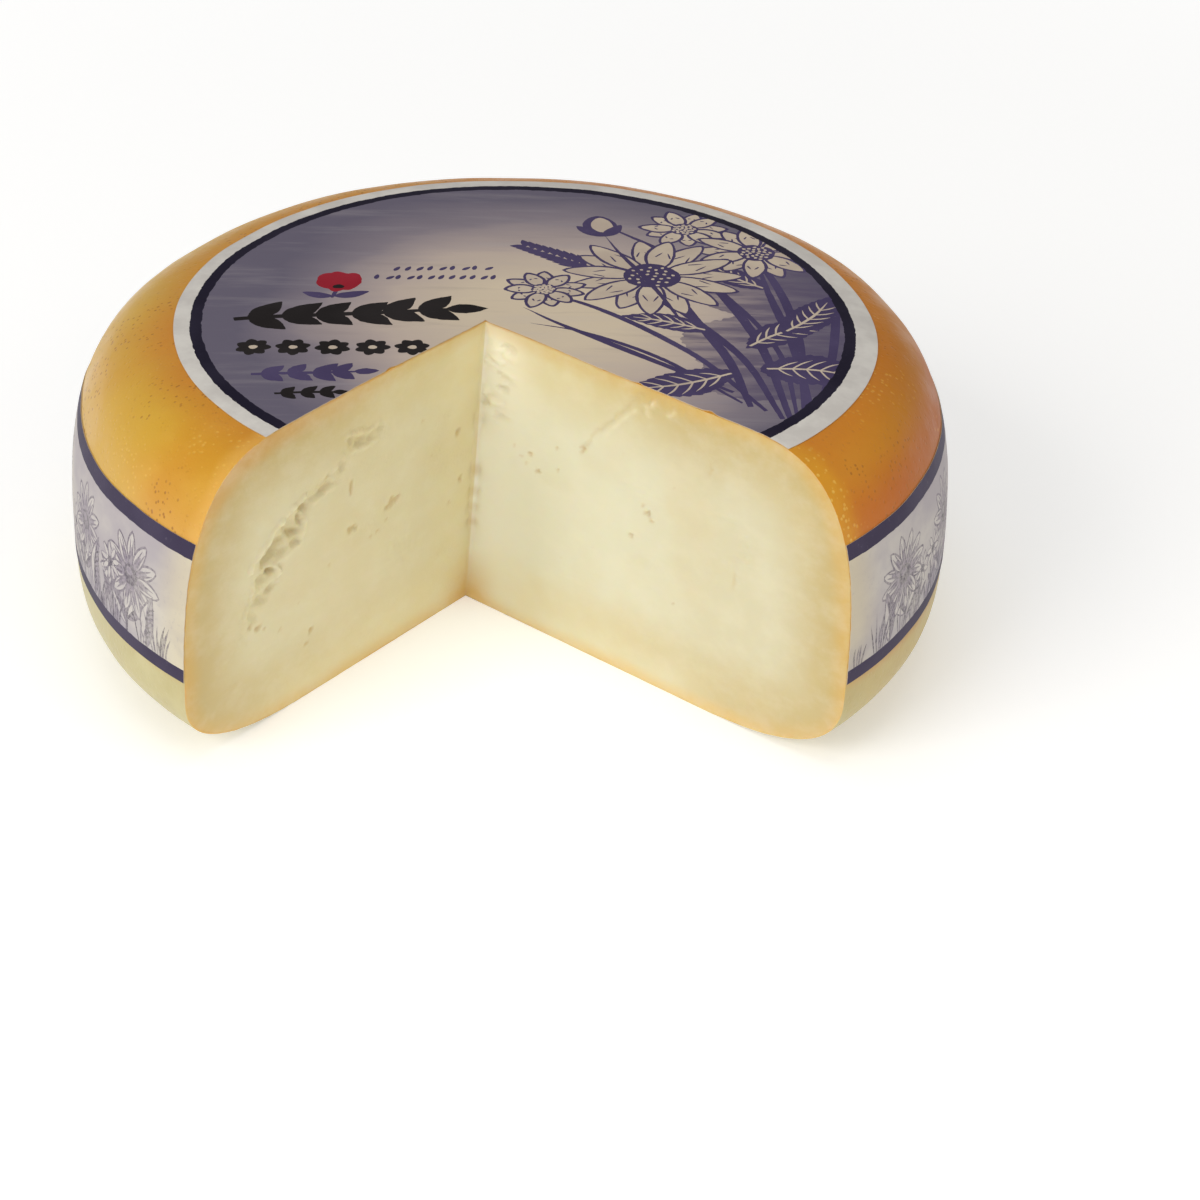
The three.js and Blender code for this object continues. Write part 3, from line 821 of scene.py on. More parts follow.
# the film is paler and greyer below the band
foot_light = coat.ramp(coat.math("ADD", z, coat.math("MULTIPLY", coat.math("SUBTRACT", slow, 0.5), 0.01)), 0.026, 0.036, 1.0, 0.0)
pale = coat.mix(coat.ramp(fine_noise, 0.35, 0.7), srgb(180, 170, 120), srgb(192, 184, 138))
pale = coat.mix(coat.ramp(slow, 0.45, 0.7, 0.0, 0.5), pale, srgb(194, 168, 104))
colour = coat.mix(coat.math("MULTIPLY", foot_light, 0.93), colour, pale)
coat.set("Base Color", colour)
coat.set("Roughness", coat.ramp(fine_noise, 0.3, 0.7, 0.32, 0.48))
peel = coat.noise(here, 330.0, 3.0, 0.55)
b = coat.bump(peel, 0.00018, 0.45)
b = coat.bump(coat.ramp(prick, 0.05, 0.34), 0.0002, 0.35, b)
b = coat.bump(fine_noise, 0.0008, 0.4, b)
coat.set("Normal", b)
# the film is duller where it was handled on the right
coat.set("Specular IOR Level", coat.ramp(x, 0.06, 0.112, 0.42, 0.20))
coat.set("Coat Weight", coat.ramp(x, 0.06, 0.112, 0.08, 0.0))

cheese = make_mesh(
    "cheese_body", V3, faces, [paste.mat, coat.mat], face_mat, sharp_rim,
    {"rind": rind_at, "torn": torn_at, "hollow_shade_and_stain": hollow_shade_and_stain_at, "ridge_highlight": ridge_highlight_at, "cut_at": cut_at, "gap_right": cut_gap[:, 0], "gap_left": cut_gap[:, 1]},
    "cheese",
)


# ------------------------------------------------------------------ drawing in the flat, mm
def curve(points, step=0.8, closed=False):
    """A smooth line through points."""
    P = np.asarray(points, float)
    n = len(P)
    if closed:
        Q = np.vstack([P[-1:], P, P[:2]])
        spans = n
    else:
        Q = np.vstack([2 * P[:1] - P[1:2], P, 2 * P[-1:] - P[-2:-1]])
        spans = n - 1
    out = []
    for k in range(spans):
        p0, p1, p2, p3 = Q[k : k + 4]
        m = max(2, int(np.linalg.norm(p2 - p1) / step))
        t = np.linspace(0, 1, m, endpoint=False)[:, None]
        out.append(0.5 * (2 * p1 + (p2 - p0) * t + (2 * p0 - 5 * p1 + 4 * p2 - p3) * t**2 + (3 * p1 - p0 - 3 * p2 + p3) * t**3))
    if not closed:
        out.append(P[-1:])
    return np.vstack(out)


def evenly(P, step):
    P = np.vstack([P, P[:1]])
    s = np.concatenate([[0], np.cumsum(np.linalg.norm(np.diff(P, axis=0), axis=1))])
    n = max(6, int(s[-1] / step))
    at = np.linspace(0, s[-1], n, endpoint=False)
    return np.column_stack([np.interp(at, s, P[:, k]) for k in (0, 1)]), at


def roughened(P, amp, seed, step=0.6, size=1.3):
    """A closed outline with a hand-cut edge."""
    Q, at = evenly(P, step)
    back, ahead = np.roll(Q, 1, 0), np.roll(Q, -1, 0)
    d = ahead - back
    d /= np.maximum(np.linalg.norm(d, axis=1, keepdims=True), 1e-9)
    n = np.column_stack([d[:, 1], -d[:, 0]])
    return Q + n * (amp * fbm(at / size, at * 0 + seed * 1.7, 900 + seed % 50, 3))[:, None]


def circle(c, r, n=720):
    a = np.linspace(0, 2 * np.pi, n, endpoint=False)
    return np.column_stack([c[0] + r * np.cos(a), c[1] + r * np.sin(a)])


def stroke(points, width, head=0.3, tail=0.15, step=1.0, seed=None):
    """A pen or brush stroke: an outline round a smooth line, width mm at its middle, head and tail as shares of it at its ends."""
    P = curve(points, step)
    if len(P) < 3:
        return None
    d = np.gradient(P, axis=0)
    d /= np.maximum(np.linalg.norm(d, axis=1, keepdims=True), 1e-9)
    n = np.column_stack([-d[:, 1], d[:, 0]])
    t = np.linspace(0, 1, len(P))
    w = width / 2 * np.where(t < 0.5, head + (1 - head) * np.sin(t * np.pi), tail + (1 - tail) * np.sin(t * np.pi))
    if seed is not None:
        w = w * (1 + 0.22 * fbm(t * 9, t * 0 + seed, 640, 2))
    return np.vstack([P + n * w[:, None], (P - n * w[:, None])[::-1]])


def leaf(base, angle, length, width, bend=0.0, tip=1.0, n=18):
    t = np.linspace(0, 1, n)
    w = width / 2 * np.sin(np.pi * t**0.85) ** (0.9 * tip)
    x, y = t * length, bend * length * np.sin(np.pi * t) * 0.5 + bend * length * t * t * 0.5
    a = math.radians(angle)
    up, down = np.column_stack([x, y + w]), np.column_stack([x, y - w])[::-1][1:-1]
    P = np.vstack([up, down])
    return np.column_stack([base[0] + P[:, 0] * math.cos(a) - P[:, 1] * math.sin(a), base[1] + P[:, 0] * math.sin(a) + P[:, 1] * math.cos(a)])


def blob(c, rx, ry, angle=0.0, wave=0.0, seed=0, n=28):
    t = np.linspace(0, 2 * np.pi, n, endpoint=False)
    k = 1 + wave * np.sin(3 * t + seed) + 0.6 * wave * np.sin(5 * t - 2 * seed)
    x, y = rx * k * np.cos(t), ry * k * np.sin(t)
    a = math.radians(angle)
    return np.column_stack([c[0] + x * math.cos(a) - y * math.sin(a), c[1] + x * math.sin(a) + y * math.cos(a)])


def holds(P, q):
    """Which of the points q lie inside the closed outline P."""
    inside = np.zeros(len(q), bool)
    near = np.nonzero((q >= P.min(0)).all(1) & (q <= P.max(0)).all(1))[0]
    if not len(near):
        return inside
    a, b = P, np.roll(P, -1, 0)
    dy = b[:, 1] - a[:, 1]
    for k in range(0, len(near), 2000):
        x, y = q[near[k : k + 2000], 0][:, None], q[near[k : k + 2000], 1][:, None]
        spans = (a[:, 1] > y) != (b[:, 1] > y)
        reach = a[:, 0] + (y - a[:, 1]) * (b[:, 0] - a[:, 0]) / np.where(dy == 0, 1e-12, dy)
        way = np.where(dy > 0, 1, -1)
        inside[near[k : k + 2000]] = (spans & (x < reach)) @ way != 0
    return inside


def triangulated(outline, shapes, loose):
    """Splits the outline into triangles along every shape. Also gives, for each triangle, the number of the last shape that holds it, or -1."""
    pts, edges = [], []
    for P in [outline] + shapes:
        start = len(pts)
        pts.extend(Vector((float(a), float(b))) for a, b in P)
        edges.extend((start + k, start + (k + 1) % len(P)) for k in range(len(P)))
    pts.extend(Vector((float(a), float(b))) for a, b in loose)
    v, _, f, _, _, _ = delaunay_2d_cdt(pts, edges, [], 0, 1e-5, False)
    flat = np.array([(p[0], p[1]) for p in v])
    tri = np.array([list(t) for t in f])
    middle = flat[tri].mean(1)
    kept = holds(outline, middle)
    tri, middle = tri[kept], middle[kept]
    top = np.full(len(tri), -1)
    for k, P in enumerate(shapes):
        top[holds(P, middle)] = k
    used, back = np.unique(tri, return_inverse=True)
    return flat[used], back.reshape(tri.shape).tolist(), top


def shell(name, flat, tris, place, lift, materials, index, node, values=None):
    """A closed paper shell: the triangles twice, lift mm apart, with a wall round the edge. place(flat, height) gives the points."""
    area = 0
    for t in tris[:200]:
        a, b, c = flat[t[0]], flat[t[1]], flat[t[2]]
        area += (b[0] - a[0]) * (c[1] - a[1]) - (b[1] - a[1]) * (c[0] - a[0])
    if area < 0:
        tris = [t[::-1] for t in tris]
    n = len(flat)
    edges = {}
    for t in tris:
        for a, b in ((t[0], t[1]), (t[1], t[2]), (t[2], t[0])):
            edges[(a, b)] = True
    rim = [(a, b) for a, b in edges if (b, a) not in edges]
    P = np.vstack([place(flat, lift[1]), place(flat, lift[0])])
    all_faces = [list(t) for t in tris] + [[i + n for i in t[::-1]] for t in tris] + [[b, a, a + n, b + n] for a, b in rim]
    paper = len(materials) - 1
    idx = list(index) + [paper] * (len(tris) + len(rim))
    rim_set = set()
    for a, b in rim:
        rim_set.update(((a, b), (b, a), (a + n, b + n), (b + n, a + n)))

    def sharp(ev):
        return np.array([(int(a), int(b)) in rim_set for a, b in ev])

    vals = {k: np.concatenate([v, v]) for k, v in (values or {}).items()}
    return make_mesh(name, P, all_faces, materials, idx, sharp, vals, node)


# ------------------------------------------------------------------ top label
def on_top(flat, height):
    r = np.hypot(flat[:, 0], flat[:, 1])
    z = z_top(r)
    slope = (z_top(r + 0.5) - z_top(r - 0.5)) / 1.0
    k = 1 / np.sqrt(1 + slope**2)
    P = np.column_stack([flat[:, 0] - flat[:, 0] / np.maximum(r, 1) * slope * k * height, flat[:, 1] - flat[:, 1] / np.maximum(r, 1) * slope * k * height, z + k * height])
    return wobble(P)


def cut_end(phi, c, rad):
    a = CUT_TOP
    d = np.array([math.cos(phi), math.sin(phi)])
    b = (a - c) @ d
    return -b + math.sqrt(b * b - ((a - c) @ (a - c) - rad * rad))


def label_outline():
    hr, hl = cut_end(PHI_RIGHT, LABEL_C, LABEL_R), cut_end(PHI_LEFT, LABEL_C, LABEL_R)
    dr = np.array([math.cos(PHI_RIGHT), math.sin(PHI_RIGHT)])
    dl = np.array([math.cos(PHI_LEFT), math.sin(PHI_LEFT)])
    in_r, in_l = np.array([-dr[1], dr[0]]), np.array([dl[1], -dl[0]])
    step = 0.7
    h = np.arange(1.2, hr, step)
    nick = 0.9 * np.exp(-(((h - 77.5) / 1.6) ** 2)) + 0.5 * np.exp(-(((h - 54.0) / 1.0) ** 2))
    right = CUT_TOP + h[:, None] * dr + in_r * (0.16 + 0.12 * fbm(h / 1.6, h * 0, 401, 3) + nick)[:, None]
    h2 = np.arange(1.2, hl, step)
    nick2 = 0.6 * np.exp(-(((h2 - 39.0) / 1.3) ** 2))
    left = CUT_TOP + h2[:, None] * dl + in_l * (0.16 + 0.12 * fbm(h2 / 1.6, h2 * 0, 411, 3) + nick2)[:, None]
    pr, pl = CUT_TOP + hr * dr - LABEL_C, CUT_TOP + hl * dl - LABEL_C
    a0, a1 = math.atan2(pr[1], pr[0]), math.atan2(pl[1], pl[0])
    if a1 < a0:
        a1 += 2 * math.pi
    a = np.linspace(a0 + 0.003, a1 - 0.003, 620)
    arc = LABEL_C + (LABEL_R + 0.05 * fbm(a * 12, a * 0, 421, 2))[:, None] * np.column_stack([np.cos(a), np.sin(a)])
    tip = CUT_TOP + 0.5 * (in_r + in_l)
    return np.vstack([tip[None], right, arc, left[::-1]])


# Print order: later shapes lie over earlier ones. Each is (outline, ink).
FIELD, INK, BLACK, RED, PALE, SHADE = "field", "ink", "black", "red", "pale", "shade"
art = []


def draw(P, ink, rough=0.16, seed=None):
    if P is None:
        return
    seed = len(art) if seed is None else seed
    art.append((roughened(P, rough, seed) if rough else P, ink))


def daisy(c, r, n, turn, heart, squash=1.0, seed=0):
    rnd = np.random.RandomState(seed)
    order = list(range(n))
    back, front = order[::2], order[1::2]
    for group in (back, front):
        for k in group:
            a = turn + 360.0 * k / n + rnd.uniform(-4, 4)
            length = r * rnd.uniform(0.9, 1.06)
            width = 2 * math.pi * r / n * 0.78
            base = (c[0] + heart * 0.6 * math.cos(math.radians(a)), c[1] + heart * 0.6 * math.sin(math.radians(a)))
            bend = rnd.uniform(-0.08, 0.08)
            draw(leaf(base, a, length + 1.0, width + 1.9, bend, 0.72), INK, 0.14)
            inset = (base[0] + 0.9 * math.cos(math.radians(a)), base[1] + 0.9 * math.sin(math.radians(a)))
            draw(leaf(inset, a, length - 1.0, width, bend, 0.72), PALE, 0.14)
            for off in (-0.16, 0.14):
                s = (base[0] + (heart + 2.0) * math.cos(math.radians(a + 90 * off)), base[1] + (heart + 2.0) * math.sin(math.radians(a + 90 * off)))
                e = (base[0] + length * 0.62 * math.cos(math.radians(a + 22 * off)), base[1] + length * 0.62 * math.sin(math.radians(a + 22 * off)))
                m = ((s[0] + e[0]) / 2, (s[1] + e[1]) / 2)
                draw(stroke([s, m, e], 0.55, 0.9, 0.1), INK, 0)
    draw(blob(c, heart * 1.12, heart * 1.12 * squash, 0, 0.03, seed), INK, 0.3)
    for k in range(26):
        rr = heart * 0.92 * math.sqrt((k + 0.5) / 26)
        a = k * 2.39996
        draw(blob((c[0] + rr * math.cos(a), c[1] + rr * math.sin(a)), 0.62, 0.5, 40 * k, 0.1, k, 9), PALE, 0)


def toothed_leaf(base, angle, length, width, bend, teeth, seed, veins=5):
    P = leaf(base, angle, length, width, bend)
    Q, at = evenly(P, 0.7)
    back, ahead = np.roll(Q, 1, 0), np.roll(Q, -1, 0)
    d = ahead - back
    d /= np.maximum(np.linalg.norm(d, axis=1, keepdims=True), 1e-9)
    n = np.column_stack([-d[:, 1], d[:, 0]])
    saw = (at / at[-1] * teeth * 2) % 1.0
    draw(Q - n * (0.16 * width * 0.35 * saw)[:, None] * (1 if seed % 2 else -1), INK, 0.15, seed)
    a = math.radians(angle)
    c, s = math.cos(a), math.sin(a)

    def at_leaf(t, side):
        x, y = t * length, bend * length * math.sin(math.pi * t) * 0.5 + bend * length * t * t * 0.5 + side
        return (base[0] + x * c - y * s, base[1] + x * s + y * c)

    draw(stroke([at_leaf(t, 0) for t in (0.06, 0.3, 0.55, 0.86)], 0.9, 0.9, 0.2), PALE, 0.05)
    for k in range(veins):
        t = 0.16 + 0.62 * k / veins
        for side in (-1, 1):
            reach = side * width * 0.36 * math.sin(math.pi * (t + 0.1))
            draw(stroke([at_leaf(t, 0.1 * side), at_leaf(t + 0.07, reach * 0.6), at_leaf(t + 0.15, reach)], 0.6, 0.8, 0.1), PALE, 0)


def blade(points, width, ink=INK, rough=0.1):
    draw(stroke(points, width, 0.55, 0.04, 1.0), ink, rough)


# a soft darker wash behind the leaves at the lower right
draw(blob((72, -22), 27, 25, 20, 0.10, 2, 60), SHADE, 1.2)
draw(blob((84, 8), 14, 26, 8, 0.10, 4, 50), SHADE, 1.0)
draw(blob((62, 20), 22, 14, -30, 0.12, 6, 50), SHADE, 1.0)
# meadow grasses
for pts, w in (
    ([(70, -58), (60, -20), (34, 20), (2, 44)], 2.6), ([(72, -58), (66, -10), (50, 34), (22, 66)], 3.0),
    ([(76, -56), (78, -8), (72, 34), (56, 66)], 2.8), ([(80, -54), (88, -12), (90, 22), (80, 46)], 2.6),
    ([(66, -54), (48, -22), (22, 4), (-2, 18)], 2.2), ([(74, -58), (72, -20), (60, 14), (40, 48)], 1.8),
    ([(82, -52), (94, -24), (98, 0), (92, 22)], 2.2), ([(60, -50), (40, -26), (20, -12), (4, -6)], 1.6),
):
    blade(pts, w)
# a grass head
for k in range(9):
    t = k / 8.0
    cx, cy = 20 - 17 * t, 32 + 13 * t
    for side in (-1, 1):
        draw(leaf((cx, cy), 142 + side * 34, 8.2 - 3 * t, 2.5, 0.05 * side), INK, 0.12)
# stems, leaves and flowers
blade([(62, -52), (58, -26), (50, 0), (44, 22)], 3.0)
blade([(78, -50), (76, -14), (72, 18), (70, 44)], 2.6)
blade([(58, -44), (34, -24), (14, -8), (2, 4)], 2.2)
toothed_leaf((60, -32), 196, 34, 15, 0.16, 13, 1)
toothed_leaf((66, -30), -14, 30, 17, 0.20, 12, 2)
toothed_leaf((63, -18), 28, 30, 13, 0.22, 12, 3)
toothed_leaf((74, -8), 62, 30, 12, -0.16, 12, 4)
toothed_leaf((54, -8), 168, 26, 10, -0.14, 11, 5)
toothed_leaf((72, 20), 128, 24, 10, 0.2, 10, 6)
daisy((50.0, 60.5), 10.5, 11, 8, 3.8, 1.0, 9)
daisy((70.5, 45.0), 15.0, 13, 12, 5.0, 1.0, 7)
daisy((39.0, 26.0), 21.5, 15, 5, 7.4, 1.0, 3)
daisy((8.0, 15.5), 9.5, 11, 20, 3.2, 1.0, 5)
# a side-on bud
draw(leaf((26, 54), 96, 15, 10.5, 0.05, 0.6), INK, 0.15)
draw(leaf((26.3, 56), 96, 11.5, 6.6, 0.05, 0.6), PALE, 0.12)
draw(leaf((25.5, 53), 62, 11, 4.2, -0.1, 0.8), INK, 0.12)
draw(leaf((25.5, 53), 132, 11, 4.2, 0.1, 0.8), INK, 0.12)
blade([(46, -2), (38, 22), (30, 42), (26, 54)], 1.6)

# bold rows of leaves and blossoms at the left
def garland(points, pairs, length, width, stem, ink, seed, spread=58):
    P = curve(points, 0.8)
    draw(stroke(points, stem, 0.9, 0.6), ink, 0.14, seed)
    rnd = np.random.RandomState(seed)
    for k in range(pairs):
        i = int((k + 0.45) / (pairs + 0.25) * (len(P) - 2))
        d = P[i + 1] - P[i]
        ang = math.degrees(math.atan2(d[1], d[0]))
        for side in (-1, 1):
            size = length * rnd.uniform(0.9, 1.08)
            draw(leaf(P[i], ang + side * (spread + rnd.uniform(-6, 6)), size, width, 0.12 * -side, 1.1), ink, 0.26)
    d = P[-1] - P[-3]
    draw(leaf(P[-1] - d, math.degrees(math.atan2(d[1], d[0])), length * 0.9, width * 0.9, 0.0, 1.1), ink, 0.26)


garland([(-77.5, -6.8), (-56, -3.0), (-36, -1.2), (-18, 1.2)], 6, 13.6, 6.6, 2.4, BLACK, 31, 40)
for k in range(5):
    c = (-70.5 + 10.7 * k, -23.8 + 0.25 * k)
    turn = 17 * k
    for m in range(7):
        a = turn + 360 * m / 7
        q = (c[0] + 0.9 * math.cos(math.radians(a)), c[1] + 0.9 * math.sin(math.radians(a)))
        draw(leaf(q, a, 4.1, 3.4, 0.0, 0.7), BLACK, 0.16)
    draw(blob(c, 1.25, 1.15, 0, 0.06, k, 14), PALE, 0.1)
garland([(-69.5, -39.8), (-57, -38.6), (-48, -38.2), (-41, -37.6)], 4, 8.0, 4.0, 1.5, INK, 33, 42)
garland([(-62.5, -50.4), (-54, -49.4), (-46, -49.2)], 3, 5.8, 2.9, 1.2, BLACK, 34, 42)
# a red field flower with its leaves
blade([(-51.5, 8.2), (-51.0, 11.0), (-50.2, 14.0)], 1.3, INK, 0.04)
draw(leaf((-51.2, 9.2), 22, 10.5, 3.9, -0.12, 0.8), INK, 0.14)
draw(leaf((-51.4, 9.0), 160, 9.0, 3.6, 0.14, 0.8), INK, 0.14)
for a, w, h in ((-34, 4.3, 5.6), (34, 4.3, 5.6), (0, 4.0, 6.4)):
    q = (-50.2 + 3.6 * math.sin(math.radians(a)), 17.6 + 1.2 * math.cos(math.radians(a)))
    draw(blob(q, w, h, -a * 0.7, 0.06, 7 + int(a)), RED, 0.24)
draw(blob((-50.2, 15.4), 1.7, 1.3, 0, 0.08, 3, 14), BLACK, 0.1)
# two rows of scattered seeds
for row, (x0, y0, x1, y1, n) in enumerate(((-35.0, 26.2, -9.0, 27.4, 9), (-40.0, 20.4, -7.0, 21.0, 12))):
    for k in range(n):
        t = k / (n - 1)
        draw(leaf((x0 + (x1 - x0) * t, y0 + (y1 - y0) * t), 62 + 22 * math.sin(3 * k + row), 3.3, 1.5, 0, 0.7), INK, 0.05)

ring_a = roughened(circle(RING_C, RING_OUT, 1000), 0.34, 5, 0.62, 1.7)
ring_b = roughened(circle(RING_C, RING_IN, 1000), 0.34, 6, 0.62, 1.7)
outline = label_outline()
grid_x, grid_y = np.meshgrid(np.arange(-98, 104, 4.4), np.arange(-98, 100, 4.4))
loose = np.column_stack([grid_x.ravel(), grid_y.ravel()]) + 0.6 * (np.random.RandomState(4).rand(grid_x.size, 2) - 0.5)
far = np.hypot(*(loose - LABEL_C).T) < LABEL_R - 1.5
ang = np.arctan2(loose[:, 1] - CUT_TOP[1], loose[:, 0] - CUT_TOP[0])
ang = np.where(ang < PHI_RIGHT, ang + 2 * np.pi, ang)
inside = (ang > PHI_RIGHT + 0.02) & (ang < PHI_LEFT - 0.02) & (np.hypot(*(loose - CUT_TOP).T) > 2)
loose = loose[far & inside]
extra = []
for rad in (93.2, 95.4):
    a = np.linspace(0, 2 * np.pi, 260, endpoint=False)
    q = LABEL_C + rad * np.column_stack([np.cos(a), np.sin(a)])
    ar = np.arctan2(q[:, 1] - CUT_TOP[1], q[:, 0] - CUT_TOP[0])
    ar = np.where(ar < PHI_RIGHT, ar + 2 * np.pi, ar)
    extra.append(q[(ar > PHI_RIGHT + 0.02) & (ar < PHI_LEFT - 0.02)])
loose = np.vstack([loose] + extra)
flat, tris, top = triangulated(outline, [ring_a, ring_b] + [P for P, _ in art], loose)
INKS = ["margin", "ring", FIELD, INK, BLACK, RED, PALE, SHADE, "paper"]
index = [0 if o < 0 else 1 if o == 0 else 2 if o == 1 else INKS.index(art[o - 2][1]) for o in top]
# the ring and the ground stop every drawing at the ground's edge
middles = flat[np.array(tris)].mean(1)
beyond = ~holds(ring_b, middles)
within = holds(ring_a, middles)
index = [i if not b else (1 if w else 0) for i, b, w in zip(index, beyond, within)]


def paper(name, base, roughness=0.52, gloss=0.2):
    m = Shade(name, Roughness=roughness, IOR=1.45)
    m.set("Specular IOR Level", gloss)
    return m


def fibres(m, strength=0.25, before=None):
    at = m.here()
    b = m.bump(m.noise(at, 1500.0, 3.0, 0.6), 0.00006, strength, before)
    return m.bump(m.noise(at, 60.0, 3.0, 0.5), 0.0005, 0.25, b)


def field_colour(m):
    """The printed ground: warm grey in the middle, slate violet towards the ring, brushed sideways."""
    at = m.here()
    x, y, z = m.split(at)
    brushed = m.noise(m.stretched(at, (14, 150, 1), (0, 0, 0.10)), 1.0, 5.0, 0.65)
    cloud = m.noise(m.stretched(at, (12, 30, 1)), 1.0, 3.0, 0.5)
    dx = m.math("SUBTRACT", x, 0.010)
    dy = m.math("ADD", y, 0.002)
    r = m.math("SQRT", m.math("ADD", m.math("MULTIPLY", dx, dx), m.math("MULTIPLY", dy, dy)))
    r = m.math("ADD", r, m.math("MULTIPLY", m.math("SUBTRACT", cloud, 0.5), 0.030))
    r = m.math("ADD", r, m.math("MULTIPLY", m.math("SUBTRACT", brushed, 0.5), 0.016))
    c = m.mix(m.ramp(r, 0.022, 0.050, curve="LINEAR"), srgb(205, 189, 165), srgb(181, 165, 156))
    c = m.mix(m.ramp(r, 0.046, 0.068, curve="LINEAR"), c, srgb(134, 124, 131))
    c = m.mix(m.ramp(r, 0.064, 0.084, curve="LINEAR"), c, srgb(98, 92, 108))
    c = m.mix(m.ramp(brushed, 0.50, 0.70, 0.0, 0.16), c, srgb(186, 178, 176))
    c = m.mix(m.ramp(brushed, 0.46, 0.30, 0.0, 0.18), c, srgb(92, 86, 104))
    return c


def inked(name, colour, wear, wear_to, roughness=0.5):
    """A solid ink with a dry, slightly uneven lay-down."""
    m = paper(name, None, roughness, 0.12)
    at = m.here()
    dry = m.noise(m.stretched(at, (1, 1.6, 1)), 520.0, 4.0, 0.7)
    slow = m.noise(at, 45.0, 3.0, 0.5)
    c = m.mix(m.ramp(slow, 0.35, 0.7, 0.0, 0.35), srgb(*colour), srgb(*[min(255, k + 26) for k in colour]))
    c = m.mix(m.ramp(dry, 0.60, 0.74, 0.0, wear), c, srgb(*wear_to))
    m.set("Base Color", c)
    m.set("Normal", fibres(m))
    return m


margin = paper("label_margin", None, 0.55)
at = margin.here()
margin.set("Base Color", margin.mix(margin.ramp(margin.noise(at, 90.0, 4.0, 0.6), 0.35, 0.7), srgb(194, 189, 183), srgb(210, 206, 199)))
margin.set("Normal", fibres(margin))
ring = inked("label_ring", (22, 17, 36), 0.30, (62, 56, 76))
field = paper("label_field", None, 0.46, 0.26)
field.set("Base Color", field_colour(field))
field.set("Normal", fibres(field))
violet = inked("label_violet_ink", (66, 56, 90), 0.30, (118, 106, 128))
black = inked("label_black_ink", (25, 20, 20), 0.20, (70, 62, 66))
red = inked("label_red_ink", (140, 22, 38), 0.2, (160, 62, 70))
shade_ink = paper("label_wash", None, 0.44)
at = shade_ink.here()
hatch = shade_ink.noise(shade_ink.stretched(at, (40, 260, 1), (0, 0, 0.5)), 1.0, 4.0, 0.6)
shade_ink.set("Base Color", shade_ink.mix(shade_ink.ramp(hatch, 0.38, 0.62, 0.42, 0.82), field_colour(shade_ink), srgb(84, 74, 100)))
shade_ink.set("Normal", fibres(shade_ink))
pale = paper("label_pale_ink", None, 0.45)
at = pale.here()
pale.set("Base Color", pale.mix(pale.ramp(pale.noise(at, 60.0, 3.0, 0.6), 0.3, 0.7), srgb(182, 166, 150), srgb(198, 183, 163)))
pale.set("Normal", fibres(pale))
raw = paper("paper_edge", None, 0.7, 0.2)
raw.set("Base Color", raw.mix(raw.noise(raw.here(), 700.0), srgb(186, 164, 130), srgb(206, 186, 154)))

label = shell(
    "top_label_paper", flat, tris, on_top, (0.05, 0.27),
    [margin.mat, ring.mat, field.mat, violet.mat, black.mat, red.mat, pale.mat, shade_ink.mat, raw.mat],
    index, "top_label",
)

# ------------------------------------------------------------------ side band
SEAM = math.radians(96) * R  # where the band's ends overlap, at the back


def on_side(flat, height):
    th, z = flat[:, 0] / R, flat[:, 1]
    r = r_side(z)
    slope = (r_side(z + 0.5) - r_side(z - 0.5)) / 1.0
    k = 1 / np.sqrt(1 + slope**2)
    over = 0.22 * smooth(SEAM, SEAM + 0.05, flat[:, 0]) * smooth(SEAM + 8.6, SEAM + 8.0, flat[:, 0]) if height > 0.1 else 0.0
    lift = height + over
    rr = r + k * lift
    P = np.column_stack([rr * np.cos(th), rr * np.sin(th), z - slope * k * lift])
    return wobble(P)


def cut_angle(phi, z):
    d = np.array([math.cos(phi), math.sin(phi)])
    a = apex(z)
    b = a @ d
    h = -b + np.sqrt(b * b + r_side(z) ** 2 - (a * a).sum(-1))
    p = a + h[:, None] * d
    t = np.arctan2(p[:, 1], p[:, 0])
    return t if phi < 0 else np.where(t < 0, t + 2 * np.pi, t)


zs = np.linspace(BAND_LOW, BAND_HIGH, 60)
end_r = cut_angle(PHI_RIGHT, zs) * R + 0.18 + 0.12 * fbm(zs / 1.5, zs * 0, 431, 3)
end_l = cut_angle(PHI_LEFT, zs) * R - 0.18 - 0.12 * fbm(zs / 1.5, zs * 0, 441, 3)
us = np.arange(end_r[0] + 0.8, end_l[0] - 0.4, 1.3)
us2 = np.arange(end_r[-1] + 0.8, end_l[-1] - 0.4, 1.3)
low_edge = np.column_stack([us, BAND_LOW + 0.06 * fbm(us / 8, us * 0, 451, 2)])
high_edge = np.column_stack([us2, BAND_HIGH + 0.06 * fbm(us2 / 8, us2 * 0, 461, 2)])[::-1]
band_outline = np.vstack([low_edge, np.column_stack([end_l, zs]), high_edge, np.column_stack([end_r, zs])[::-1]])
U0, U1 = float(end_r.min()), float(end_l.max())
strokes = []


def pen(P, tone="pencil", rough=0.0):
    if P is not None:
        strokes.append((roughened(P, rough, len(strokes), 1.6) if rough else P, tone))


def stripe(low, high, seed):
    x = np.arange(U0 - 4, U1 + 4, 1.4)
    a = np.column_stack([x, low + 0.16 * fbm(x / 1.7, x * 0, seed, 3)])
    b = np.column_stack([x, high + 0.16 * fbm(x / 1.7, x * 0 + 4, seed, 3)])
    strokes.append((np.vstack([a, b[::-1]]), "stripe"))


rnd = np.random.RandomState(77)
IN_LOW, IN_HIGH = BAND_LOW + 4.3, BAND_HIGH - 4.3


def keep(y):
    return min(max(y, IN_LOW - 1.5), IN_HIGH - 1.2)


